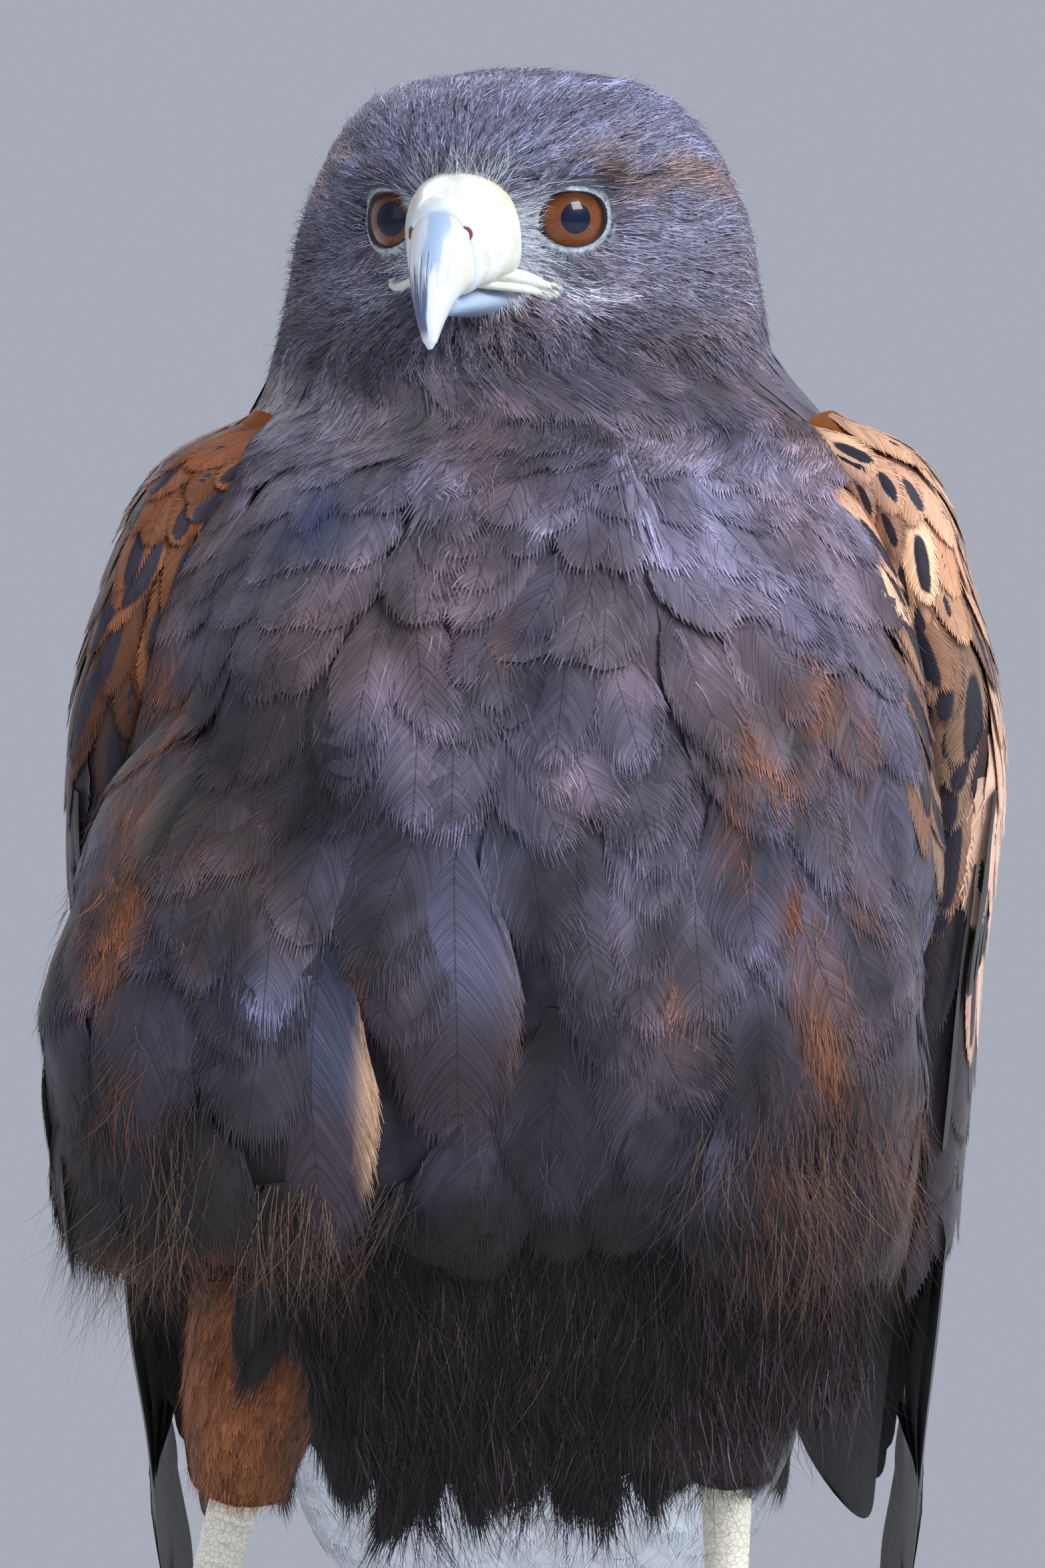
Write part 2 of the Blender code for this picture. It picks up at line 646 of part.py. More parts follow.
def wing_tier(side, name, random):
    """One tier of vanes, each leading edge lying over the vane in front of it."""
    count, root, front_tip, back_tip, roots, tips, width, depth, slope = WING_TIERS[name]
    pieces = []
    for index in range(count):
        share = index / (count - 1)
        tip = front_tip + (back_tip - front_tip) * share + random.uniform(-0.0015, 0.0015)
        start = roots[0] + (roots[1] - roots[0]) * share
        end = tips[0] + (tips[1] - tips[0]) * share

        def surface(along, back, offset, level):
            sink = depth + slope * offset + level - VANE / 2
            if name == "secondaries":
                sink -= 0.0034 * float(smooth_step(0.152, 0.180, along))
            return wing_point(side, along, back + offset, sink)

        pieces.append(vane(surface, stations_between(root, tip),
                           lambda part: start + (end - start) * part, width, 3))
    return pieces


def primaries(side):
    """The long outer quills, which come to the surface past the coverts and secondaries."""
    pieces = []
    shallow, deep = PRIMARY_DEPTH
    for index, tip in enumerate(PRIMARY_TIPS):
        start = PRIMARY_BACK[0] + PRIMARY_BACK[1] * index
        end = PRIMARY_TIP_BACK[0] + PRIMARY_TIP_BACK[1] * index

        def surface(along, back, offset, level):
            place = back + offset
            covered = max(float(smooth_step(0.006, 0.026, place) * (
                1 - smooth_step(0.214, 0.250, along))), float(1 - smooth_step(0.150, 0.178, along)))
            sink = shallow + (deep - shallow) * covered + PRIMARY_SLOPE * offset + level - VANE / 2
            return wing_point(side, along, place, sink)

        pieces.append(vane(surface, stations_between(PRIMARY_ROOT, tip),
                           lambda part: start + (end - start) * part, PRIMARY_WIDTH, 2))
    return pieces


def rounding(distance, radius):
    """How far the core's face falls off near its rim."""
    inward = 1 - min(distance / radius, 1.0)
    return 0.8 * radius * (1 - math.sqrt(1 - inward**2))


def wing_core(side):
    """The shoulder's coverts, with the stepped root that all other feathers of the wing grow from."""
    rows = [0.0, 0.004, 0.012, 0.030, 0.055, *WING_STEPS[:, 0]]
    columns = np.array([0.0, 0.04, 0.11, 0.25, 0.42, 0.6, 0.78, 0.92, 1.0])
    outer, inner = [], []
    for along in rows:
        chord = np.interp(along, *CORE_CHORD.T)
        step = np.interp(along, *WING_STEPS.T)
        line, under = [], []
        for share in columns:
            fall = rounding(share * chord, 0.009) + rounding((1 - share) * chord, 0.009)
            fall += rounding(along + 0.001, 0.012)
            sink = min(max(fall, step), CORE_INNER - 0.0012)
            line.append(wing_point(side, along, share * chord, sink))
            thick = CORE_INNER + 0.016 * float(1 - smooth_step(0.090, 0.140, along))
            under.append(wing_point(side, along, share * chord, thick))
        outer.append(line)
        inner.append(under)
    return slab("wing_" + side, np.array(outer), np.array(inner), "plumage_dark")


def wing(side, flesh_parts):
    """One folded wing: its core with three tiers of vanes and the primaries rooted in it."""
    random = np.random.default_rng(7 if side == "left" else 11)
    made = wing_core(side)
    pieces = primaries(side)
    for name in WING_TIERS:
        pieces += wing_tier(side, name, random)
    join(made, pieces, "UNION")
    carve(made, flesh_parts)
    return made


def tail_line(part):
    """Place and upper side of the tail's middle line, as y and z."""
    a, b, c, d = TAIL_GUIDES
    rest = 1 - part
    place = rest**3 * a + 3 * rest**2 * part * b + 3 * rest * part**2 * c + part**3 * d
    heading = unit(rest**2 * (b - a) + 2 * rest * part * (c - b) + part**2 * (d - c))
    return place, np.array([-heading[1], heading[0]])


def tail_point(part, across, lift):
    place, up = tail_line(part)
    y, z = place + up * lift
    return np.array([across, y, z])


def tail_vane(rank, side):
    """Upper and lower face of a tail feather: its inner web stops short of the middle plane."""
    faces = []
    for level in (0.5 * VANE, -0.5 * VANE):
        grid = []
        for part in TAIL_STATIONS:
            spacing, half = eased(TAIL_SPREAD, part)
            half *= np.interp(part, [0.9, 0.955, 0.985, 1.0], [1, 0.93, 0.72, 0.4])
            middle = (rank + 0.5) * spacing
            inner = half if rank == 0 else min(half, middle - TAIL_MIDDLE_GAP)
            lift, slope = (-3 * TAIL_PITCH, TAIL_PITCH / spacing)
            if rank == 0:
                lift, slope = (0.0 if side > 0 else -TAIL_PITCH), 0.0
            row = [tail_point(part, side * (middle + offset), lift + slope * offset + level)
                   for offset in (-inner, half)]
            grid.append(row if side > 0 else row[::-1])
        faces.append(np.array(grid))
    return faces


def tail(torso):
    """Twelve long feathers rooted in a block behind the rump, resting on the floor at the tip."""
    vanes = [tail_vane(rank, side) for rank in range(TAIL_RANKS) for side in (1, -1)]
    lowest = min(face[..., 2].min() for faces in vanes for face in faces)
    grids = []
    for lift in (VANE, -TAIL_DEPTH):
        grids.append(np.array([[tail_point(part, TAIL_ROOT_HALF * share, lift)
                                for share in (-1, -0.5, 0, 0.5, 1)]
                               for part in (0.0, 0.10, 0.20, 0.26)]))
    made = slab("tail", grids[0], grids[1], "plumage_dark")
    pieces = []
    for faces in vanes:
        for face in faces:
            share = np.clip((0.12 - face[..., 2]) / 0.10, 0.0, 1.0)
            face[..., 2] -= lowest * share
        pieces.append(slab("vane", *faces))
    join(made, pieces, "UNION")
    carve(made, [torso])
    return made


def tail_coverts(name, above, sections, torso):
    """A cushion of coverts over or under the root of the tail: part, half width and depth rows."""
    rings = []
    for part, half, depth in sections:
        ring = []
        for step in range(18):
            around = 2 * math.pi * step / 18
            across = half * math.cos(around)
            rise = 0.5 + 0.5 * math.sin(around)
            lift = 0.0009 + depth * rise if above else -(TAIL_DEPTH + 0.0004 + depth * rise)
            ring.append(tail_point(part, across, lift))
        rings.append(ring)
    made = loft(name, rings, "plumage_white")
    carve(made, [torso])
    return made


def thigh(side, torso):
    """A feathered thigh, round and tapering to the joint."""
    table = []
    for index, (place, radius) in enumerate(THIGHS[side]):
        table.append([index, *place, radius])
    rings = []
    for place in np.linspace(0, len(table) - 1, 9):
        *centre, radius = eased(table, place)
        after = eased(table, min(place + 0.1, len(table) - 1))[:3]
        before = eased(table, max(place - 0.1, 0))[:3]
        heading = unit(after - before)
        if place == len(table) - 1:
            heading = unit(tarsus_line(side)[1] - tarsus_line(side)[0])
        rings.append(round_ring(np.array(centre), heading, radius, 1.15 * radius, 16))
    made = loft("thigh_" + side, rings, "plumage_rufous")
    carve(made, [torso])
    return made


def round_ring(centre, heading, half_across, half_deep, sides):
    """An oval ring square to a heading: across lies near X and deep near Y."""
    across = unit(np.cross((0, 1, 0), heading))
    deep = unit(np.cross(heading, across))
    turns = 2 * math.pi * (np.arange(sides) + 0.5) / sides
    return np.array([centre + half_across * math.cos(t) * across + half_deep * math.sin(t) * deep
                     for t in turns])


def tarsus_line(side):
    """Upper and lower end of the bare leg."""
    heel = np.array(THIGHS[side][-1][0])
    x, y = FEET[side]
    return heel, np.array([x, y, TOE_HEIGHT * 0.8])


def leg(side):
    """The bare leg from the heel to just above the toes."""
    heel, foot = tarsus_line(side)
    heading = unit(foot - heel)
    length = (heel[2] - ANKLE_HEIGHT) / -heading[2]
    swell = [1.22, 1.12, 0.98, 0.95, 0.95, 1.0, 1.12]
    rings = []
    for share, wide in zip(np.linspace(0, 1, len(swell)), swell):
        distance = GAP + share * (length - GAP)
        radius = TARSUS_RADIUS * wide
        rings.append(round_ring(heel + heading * distance, heading, radius, radius * 1.12, 10))
    return loft("tarsus_" + side, rings, "skin_yellow")


def toe_ring(place, heading, width, height):
    """A toe's section: flat on the floor and round above."""
    aside = np.array([-heading[1], heading[0], 0.0])
    shape = [(-0.30, 0.0), (0.30, 0.0), (0.50, 0.30), (0.42, 0.76), (0.16, 1.0),
             (-0.16, 1.0), (-0.42, 0.76), (-0.50, 0.30)]
    return [place + aside * across * width + np.array([0, 0, up * height]) for across, up in shape]


def toe_heading(side, name):
    """Where a toe points, as a level direction."""
    turn = math.radians(TOES[name][0]) * (1 if side == "left" else -1)
    return np.array([-math.sin(turn), -math.cos(turn), 0.0])


def foot(side):
    """Four padded toes fused with the ankle."""
    heel, end = tarsus_line(side)
    heading = unit(end - heel)
    top = heel + heading * ((heel[2] - ANKLE_HEIGHT) / -heading[2] + GAP)
    rings = [round_ring(top, heading, TARSUS_RADIUS * 1.12, TARSUS_RADIUS * 1.25, 10)]
    rings.append(round_ring(top + heading * 0.006, heading, 0.0050, 0.0056, 10))
    rings.append(round_ring(np.array([*FEET[side], 0.0100]), heading, 0.0060, 0.0066, 10))
    rings.append(round_ring(np.array([*FEET[side], 0.0030]), (0, 0, -1), 0.0055, 0.0060, 10))
    made = loft("foot_" + side, rings, "skin_yellow")
    toes = []
    for name, (_, length, _) in TOES.items():
        way = toe_heading(side, name)
        start = np.array([*FEET[side], 0.0])
        knuckles = 4 if name == "middle" else 3
        sections = []
        for share in np.linspace(0, 1, 2 * knuckles + 1):
            pad = 1 + 0.13 * math.cos(2 * math.pi * knuckles * share)
            width = 0.0082 * (1 - 0.28 * share) * pad
            height = TOE_HEIGHT * (1 - 0.22 * share) * (1 + 0.05 * math.cos(
                2 * math.pi * knuckles * share))
            sections.append(toe_ring(start + way * (length * share), way, width, height))
        toes.append(loft("toe", sections))
    join(made, toes, "UNION")
    return made


def claw(side, name):
    """A talon that bends down from the toe's end to just above the floor."""
    _, toe_length, claw_length = TOES[name]
    way = toe_heading(side, name)
    root = np.array([*FEET[side], 0.0]) + way * (toe_length + GAP)
    bend = math.radians(88)
    start_turn = math.radians(18)
    radius = claw_length / bend
    base_up = 0.0034
    rings = []
    for share in (0.0, 0.18, 0.38, 0.58, 0.79, 1.0):
        turn = start_turn - bend * share
        forward = radius * (math.sin(start_turn) - math.sin(turn))
        up = radius * (math.cos(turn) - math.cos(start_turn))
        heading = way * math.cos(turn) + np.array([0, 0, math.sin(turn)])
        if share == 0.0:
            heading = way
        thick = 0.0028 * (1 - share) ** 0.8 + 0.0003
        centre = root + way * forward + np.array([0, 0, base_up + up])
        aside = np.array([-way[1], way[0], 0.0])
        above = np.cross(aside, heading)
        above = above if above[2] > 0 else -above
        rings.append([centre + thick * (0.8 * math.cos(t) * aside + math.sin(t) * above)
                      for t in 2 * math.pi * np.arange(6) / 6])
    rings = np.array(rings)
    lowest = rings[..., 2].min()
    share = np.linspace(0, 1, len(rings))[:, None]
    rings[..., 2] += share * max(0.0, 0.0006 - lowest)
    return loft("claw_" + name + "_" + side, rings, "claw_black")


def centre_on_floor():
    """Moves every piece so that the model's box is centred over the origin and stands at z = 0."""
    pieces = [piece for piece in bpy.context.scene.objects if piece.type == "MESH"]
    corners = np.array([vertex.co[:] for piece in pieces for vertex in piece.data.vertices])
    low, high = corners.min(0), corners.max(0)
    shift = np.array([(low[0] + high[0]) / 2, (low[1] + high[1]) / 2, low[2]])
    for piece in pieces:
        for vertex in piece.data.vertices:
            vertex.co = [place - move for place, move in zip(vertex.co, shift)]
        piece.data.update()


def build():
    for old in list(bpy.data.objects):
        bpy.data.objects.remove(old)
    head, neck, torso = body()
    face_parts(head)
    tail(torso)
    tail_coverts("uppertail_coverts", True,
                 [(0.02, 0.020, 0.004), (0.12, 0.027, 0.010), (0.22, 0.027, 0.009),
                  (0.32, 0.022, 0.005), (0.38, 0.012, 0.001)], torso)
    tail_coverts("undertail_coverts", False,
                 [(0.02, 0.030, 0.016), (0.12, 0.040, 0.026), (0.22, 0.042, 0.027),
                  (0.32, 0.038, 0.022), (0.42, 0.028, 0.012), (0.48, 0.014, 0.002)], torso)
    for side in ("left", "right"):
        wing(side, [torso, neck])
        thigh(side, torso)
        leg(side)
        foot(side)
        for name in TOES:
            claw(side, name)
    centre_on_floor()


build()
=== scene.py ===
"""Looks of a harris hawk at life size, standing with its head turned to its right.

All places are in metres in the bird's own frame, where it faces -Y, its left side is at +X and the
floor is at z = 0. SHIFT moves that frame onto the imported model.
"""
import math

import bpy
import numpy as np
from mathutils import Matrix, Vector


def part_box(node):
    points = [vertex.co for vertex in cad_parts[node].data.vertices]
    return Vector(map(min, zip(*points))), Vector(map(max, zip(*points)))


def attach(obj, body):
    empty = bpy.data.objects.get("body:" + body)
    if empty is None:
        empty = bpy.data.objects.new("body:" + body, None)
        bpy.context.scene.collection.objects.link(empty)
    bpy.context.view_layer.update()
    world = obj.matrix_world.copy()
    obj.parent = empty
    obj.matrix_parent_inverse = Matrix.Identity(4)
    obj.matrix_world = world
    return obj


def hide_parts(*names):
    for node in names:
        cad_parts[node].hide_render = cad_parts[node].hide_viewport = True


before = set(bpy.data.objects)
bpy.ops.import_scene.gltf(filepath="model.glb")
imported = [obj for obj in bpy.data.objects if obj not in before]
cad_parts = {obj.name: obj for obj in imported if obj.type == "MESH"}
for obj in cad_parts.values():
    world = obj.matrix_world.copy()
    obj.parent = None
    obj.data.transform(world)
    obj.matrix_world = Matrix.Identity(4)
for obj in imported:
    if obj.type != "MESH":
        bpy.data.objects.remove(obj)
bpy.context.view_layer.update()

# The head: centre, turn to the bird's right, and level sections in the head's own frame as rows of
# height, half width, reach forward, reach back, power of the front's curve
HEAD_CENTRE = np.array([-0.0035, -0.0080, 0.3050])
HEAD_TURN = math.radians(19)
HEAD_SECTIONS = np.array([
    [0.2830, 0.0455, 0.0290, 0.0440, 1.70],
    [0.2900, 0.0445, 0.0265, 0.0440, 1.40],
    [0.2970, 0.0432, 0.0280, 0.0445, 1.18],
    [0.3040, 0.0420, 0.0315, 0.0450, 1.08],
    [0.3100, 0.0403, 0.0340, 0.0445, 1.08],
    [0.3160, 0.0376, 0.0345, 0.0430, 1.24],
    [0.3220, 0.0342, 0.0310, 0.0400, 1.48],
    [0.3270, 0.0300, 0.0255, 0.0355, 1.75],
    [0.3310, 0.0245, 0.0190, 0.0285, 2.00],
    [0.3336, 0.0172, 0.0115, 0.0200, 2.00],
    [0.3349, 0.0080, 0.0040, 0.0095, 2.00],
])
HEAD_BACK_POWER = 2.1
# Height, half width at left and right, y of front, widest place and back, powers of front and back
TORSO_SECTIONS = np.array([
    [0.0840, 0.0240, 0.0260, -0.0020, 0.0160, 0.0400, 2.0, 2.0],
    [0.0880, 0.0350, 0.0380, -0.0110, 0.0170, 0.0520, 2.0, 2.0],
    [0.0960, 0.0450, 0.0480, -0.0220, 0.0180, 0.0640, 2.0, 2.0],
    [0.1080, 0.0510, 0.0525, -0.0330, 0.0120, 0.0740, 2.0, 1.9],
    [0.1220, 0.0560, 0.0575, -0.0440, 0.0080, 0.0815, 2.1, 1.9],
    [0.1400, 0.0615, 0.0630, -0.0555, 0.0020, 0.0850, 2.2, 1.8],
    [0.1620, 0.0670, 0.0690, -0.0660, -0.0030, 0.0830, 2.3, 1.8],
    [0.1850, 0.0715, 0.0730, -0.0728, -0.0040, 0.0780, 2.3, 1.9],
    [0.2080, 0.0750, 0.0745, -0.0750, 0.0000, 0.0715, 2.3, 2.1],
    [0.2300, 0.0725, 0.0710, -0.0718, 0.0000, 0.0660, 2.2, 2.2],
    [0.2500, 0.0660, 0.0640, -0.0635, 0.0000, 0.0600, 2.1, 2.2],
    [0.2650, 0.0590, 0.0565, -0.0535, 0.0000, 0.0535, 2.0, 2.2],
    [0.2760, 0.0530, 0.0510, -0.0460, 0.0000, 0.0480, 2.0, 2.2],
])
NECK_BLEND = (0.2660, 0.2860)
SKIN_HEIGHTS = (0.0840, 0.2860, 0.3349)
FLANKS = (((0.0400, -0.0310, 0.1580), (0.0305, 0.0300, 0.0520)),
          ((-0.0500, -0.0360, 0.1560), (0.0365, 0.0290, 0.0520)))
FLANK_BLEND, FLANK_DROP, FLANK_RISE = 0.014, 1.36, 0.74

# Eyes in the head's frame as across, forward and up, with the hollow round each
EYE_RADIUS = 0.0085
EYE_FRONT = (0.0188, 0.0215, 0.0033)
EYE_TURN = math.radians(37)
# How far each eye's opening and its gaze are turned forward of the eye's own axis
EYE_AHEAD = {1: (0.0, 0.0), -1: (math.radians(5), math.radians(21))}
ORBIT_RADIUS = 0.0150
ORBIT_OUT = 0.0116

# Upper bill: forward and up of the ridge, forward and up of the cutting edge, and half width
BILL_SECTIONS = np.array([
    [0.0266, 0.0122, 0.0240, -0.0078, 0.0084],
    [0.0310, 0.0122, 0.0270, -0.0085, 0.0108],
    [0.0360, 0.0108, 0.0325, -0.0093, 0.0090],
    [0.0400, 0.0082, 0.0360, -0.0100, 0.0074],
    [0.0436, 0.0046, 0.0386, -0.0106, 0.0063],
    [0.0466, 0.0002, 0.0406, -0.0114, 0.0054],
    [0.0486, -0.0050, 0.0424, -0.0122, 0.0045],
    [0.0496, -0.0102, 0.0440, -0.0140, 0.0034],
    [0.0494, -0.0155, 0.0456, -0.0168, 0.0022],
    [0.0478, -0.0205, 0.0466, -0.0202, 0.0009],
])
CERE_END = 4.0

# Wings: outer outline as height and distance from the middle plane, where each stands out most, its
# bend behind that and before it, and the guides of the leading edge as y and z
WING_OUTLINE = {
    "left": np.array([
        [0.0100, 0.0600], [0.0400, 0.0650], [0.0660, 0.0688], [0.0870, 0.0715], [0.1150, 0.0751],
        [0.1500, 0.0786], [0.1760, 0.0810], [0.1930, 0.0833], [0.2070, 0.0847], [0.2190, 0.0840],
        [0.2330, 0.0815], [0.2430, 0.0785], [0.2566, 0.0748], [0.2680, 0.0680], [0.2850, 0.0500],
    ]),
    "right": np.array([
        [0.0100, 0.0590], [0.0400, 0.0645], [0.0660, 0.0682], [0.0870, 0.0712], [0.1110, 0.0752],
        [0.1280, 0.0766], [0.1500, 0.0790], [0.1760, 0.0822], [0.1860, 0.0836], [0.2070, 0.0844],
        [0.2210, 0.0836], [0.2420, 0.0782], [0.2600, 0.0710], [0.2700, 0.0630], [0.2850, 0.0470],
    ]),
}
WING_WIDEST = np.array([
    [0.0100, 0.1250], [0.0600, 0.0850], [0.1000, 0.0520], [0.1400, 0.0250],
    [0.1800, 0.0060], [0.2200, -0.0020], [0.2700, 0.0000],
])
WING_BEND = np.array([
    [0.0200, 1.5], [0.0900, 2.0], [0.1300, 3.0], [0.1700, 6.0], [0.2100, 8.0], [0.2700, 9.0],
])
WING_FRONT_BEND = 4.0
WING_EDGE = np.array([[-0.0230, 0.2790], [-0.0520, 0.1300], [0.1350, 0.0180]])
WING_LENGTH = 0.3120
WING_ROLL = 0.0072

# Tail: guides of its middle line as y and z; share of length, shaft spacing and half width of a vane
TAIL_RANKS = 6
TAIL_PITCH = 0.0009
TAIL_GUIDES = np.array([[0.0600, 0.1400], [0.1150, 0.0880], [0.1750, 0.0048], [0.2450, 0.0048]])
TAIL_DEPTH = 0.0056
TAIL_SPREAD = np.array([[0.0, 0.0019, 0.0030], [0.15, 0.0024, 0.0045], [0.35, 0.0034, 0.0075],
                        [0.65, 0.0046, 0.0100], [0.90, 0.0054, 0.0112], [1.0, 0.0057, 0.0112]])

# Legs: middle line of each thigh as place and radius, then feet and toes
THIGHS = {
    "left": np.array([[0, 0.0330, 0.0000, 0.1500, 0.0225], [1, 0.0350, -0.0030, 0.1200, 0.0175],
                      [2, 0.0352, 0.0025, 0.1000, 0.0128], [3, 0.0345, 0.0100, 0.0842, 0.0082]]),
    "right": np.array([[0, -0.0350, -0.0030, 0.1500, 0.0225], [1, -0.0435, -0.0050, 0.1200, 0.0175],
                       [2, -0.0505, 0.0020, 0.0980, 0.0128], [3, -0.0532, 0.0100, 0.0812, 0.0084]]),
}
FEET = {"left": (0.0345, 0.0020), "right": (-0.0740, 0.0010)}
ANKLE_HEIGHT = 0.0240
TARSUS_RADIUS = 0.0039
TOE_HEIGHT = 0.0078
TOES = {"middle": (-4, 0.0420, 0.0200), "inner": (40, 0.0290, 0.0250),
        "outer": (-44, 0.0330, 0.0180), "hind": (170, 0.0250, 0.0270)}


def screen(red, green, blue):
    """A colour of 0 to 255 as seen on a screen, in linear light."""
    share = np.array([red, green, blue], float) / 255
    return np.where(share <= 0.04045, share / 12.92, ((share + 0.055) / 1.055) ** 2.4)


SLATE = screen(96, 92, 114)
SLATE_DEEP = screen(46, 43, 54)
SLATE_PALE = screen(118, 113, 134)
BROWN = screen(100, 84, 90)
BLUE = screen(78, 88, 120)
BELLY = screen(32, 26, 29)
RUFOUS = screen(162, 100, 62)
RUFOUS_PALE = screen(224, 176, 148)
RUFOUS_DEEP = screen(126, 74, 42)
TAN = screen(160, 128, 96)
CHARCOAL = screen(44, 41, 54)
WHITE = screen(234, 240, 251)
QUILL_DARK = screen(34, 33, 40)
QUILL_BROWN = screen(58, 52, 58)


def unit(vector):
    """Vectors along the last axis, at length 1."""
    return vector / np.maximum(np.linalg.norm(vector, axis=-1, keepdims=True), 1e-12)


def rise(start, end, at):
    """Goes from 0 to 1 between two places as 3 t^2 - 2 t^3."""
    part = np.clip((at - start) / (end - start), 0.0, 1.0)
    return part * part * (3 - 2 * part)


def mottle(place, pitch, key):
    """A soft field about 0: sines of the place along seven drawn directions, summed."""
    random = np.random.default_rng(key)
    way = unit(random.normal(size=(7, 3))) * 2 * math.pi / (pitch * random.uniform(0.7, 1.5, (7, 1)))
    return np.sin(place @ way.T + random.uniform(0, 6.28, 7)).sum(-1) / 1.9


def read_table(table, at):
    """Columns of a table at places in its first column, along cubic Hermite curves."""
    places, values = table[:, 0], table[:, 1:]
    at = np.clip(np.asarray(at, float), places[0], places[-1])
    row = np.clip(np.searchsorted(places, at) - 1, 0, len(places) - 2)
    slopes = np.gradient(values, places, axis=0)
    span = (places[row + 1] - places[row])[..., None]
    part = (at - places[row])[..., None] / span
    return ((2 * part**3 - 3 * part**2 + 1) * values[row]
            + (part**3 - 2 * part**2 + part) * span * slopes[row]
            + (3 * part**2 - 2 * part**3) * values[row + 1]
            + (part**3 - part**2) * span * slopes[row + 1])


def head_place(across, forward, up):
    """The head's frame turned into the bird's: across is toward the bird's left."""
    across, forward, up = np.broadcast_arrays(across, forward, up)
    turned = np.stack([across * math.cos(HEAD_TURN) - forward * math.sin(HEAD_TURN),
                       -across * math.sin(HEAD_TURN) - forward * math.cos(HEAD_TURN), up], axis=-1)
    return HEAD_CENTRE + turned


def head_frame(place):
    """The bird's frame turned into the head's: across, forward and up."""
    x, y, z = np.moveaxis(place - HEAD_CENTRE, -1, 0)
    return np.stack([x * math.cos(HEAD_TURN) - y * math.sin(HEAD_TURN),
                     -x * math.sin(HEAD_TURN) - y * math.cos(HEAD_TURN), z], axis=-1)


def eye_frame(side, gaze=0):
    """Centre of an eye and the axis of its opening or gaze, in the head's frame; side 1 is left."""
    ways = [np.array([side * math.sin(turn), math.cos(turn), 0.0])
            for turn in (EYE_TURN, EYE_TURN - EYE_AHEAD[side][gaze])]
    return np.array([side * EYE_FRONT[0], EYE_FRONT[1], EYE_FRONT[2]]) - ways[0] * EYE_RADIUS, ways[1]


eye_low, eye_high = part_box("eye_left")
SHIFT = (np.array(eye_low) + np.array(eye_high)) / 2 - head_place(*eye_frame(1)[0])


def outline(turn, left, right, front, back, front_power, back_power):
    """Across and forward of |sin|^(2/p) and |cos|^(2/p), scaled to each side's reach."""
    power = np.where(np.cos(turn) > 0, front_power, back_power)
    across = np.sign(np.sin(turn)) * np.abs(np.sin(turn)) ** (2 / power)
    forward = np.abs(np.cos(turn)) ** (2 / power)
    return (across * np.where(across > 0, left, right),
            np.where(np.cos(turn) > 0, forward * front, -forward * back))


def plumage_place(turn, height):
    """The outer face of the plumage, as torso sections that turn into the head's over the neck.

    Each flank pushes the section out to the far root of its ellipsoid along the line from the
    section's middle, blended by half of a + b + sqrt((a - b)^2 + k^2). A groove shaped as a bell
    runs down the breast's middle. Near an eye the face sinks
    to the inside of a ball whose centre lies on the eye's axis in front of it."""
    half, front, back, power = np.moveaxis(read_table(HEAD_SECTIONS, height), -1, 0)
    across, forward = outline(turn, half, half, front, back, power, HEAD_BACK_POWER)
    skull = head_place(across, forward, height - HEAD_CENTRE[2])
    left, right, front, widest, back, front_power, back_power = np.moveaxis(
        read_table(TORSO_SECTIONS, height), -1, 0)
    across, forward = outline(turn, left, right, widest - front, back - widest,
                              front_power, back_power)
    trunk = np.stack([across, widest - forward, height + 0 * across], axis=-1)
    middle = np.stack([0 * across, widest + 0 * across, height + 0 * across], axis=-1)
    spoke = unit(trunk - middle)
    reach = np.linalg.norm(trunk - middle, axis=-1)
    for centre, sizes in FLANKS:
        centre, sizes = np.array(centre), np.array(sizes)
        start, step = (middle - centre) / sizes, spoke / sizes
        start[..., 2] *= np.where(start[..., 2] < 0, FLANK_DROP, FLANK_RISE)
        a, b = (step**2).sum(-1), (start * step).sum(-1)
        c = (start**2).sum(-1) - 1
        exit_reach = np.where(b**2 > a * c, (-b + np.sqrt(np.maximum(b**2 - a * c, 0))) / a, 0.0)
        blended = 0.5 * (reach + exit_reach + np.sqrt((reach - exit_reach) ** 2 + FLANK_BLEND**2))
        reach = np.where(exit_reach > 0, np.maximum(blended - 0.5 * FLANK_BLEND * np.exp(
            -np.abs(reach - exit_reach) / FLANK_BLEND), reach), reach)
    groove = 0.0030 * np.exp(-((trunk[..., 0] + 0.0030) / 0.0060) ** 2) * rise(0.105, 0.130, height)
    ripple = 0.0010 * mottle(trunk, 0.030, 11) - groove * (1 - rise(0.232, 0.256, height))
    reach = reach + ripple * (1 - rise(-0.030, 0.010, trunk[..., 1]))
    trunk = middle + spoke * reach[..., None]
    share = rise(*NECK_BLEND, height)[..., None]
    place = (1 - share) * trunk + share * skull
    local = head_frame(place)
    for side in (1, -1):
        centre, axis = eye_frame(side)
        offset = local - centre
        along = offset @ axis
        aside = np.linalg.norm(offset - along[..., None] * axis, axis=-1)
        floor = EYE_RADIUS + ORBIT_OUT - np.sqrt(np.maximum(ORBIT_RADIUS**2 - aside**2, 0.0))
        gap = along - floor
        sink = 0.5 * (gap + np.sqrt(gap**2 + 0.0012**2))
        sink = sink * (aside < ORBIT_RADIUS) * (along > 0) * (1 - rise(0.0125, 0.0148, aside))
        local = local - sink[..., None] * axis
    ridge = brow_height(local)
    local = local + ridge[..., None] * unit(local - np.array([0.0, 0.0, -0.004]))
    return np.where(share > 0, head_place(*np.moveaxis(local, -1, 0)), place)


def brow_height(local):
    """The ridge over each eye: a bell across a line that slopes down toward the bill."""
    across, forward, up = np.moveaxis(local, -1, 0)
    across = np.abs(across)
    along = 0.45 * (0.0195 - across) + 0.85 * (forward - 0.0180)
    line = 0.0108 - 0.22 * along
    return 0.0036 * np.exp(-((up - line) / 0.0026) ** 2 - (along / 0.0110) ** 2) * (forward > 0.004)


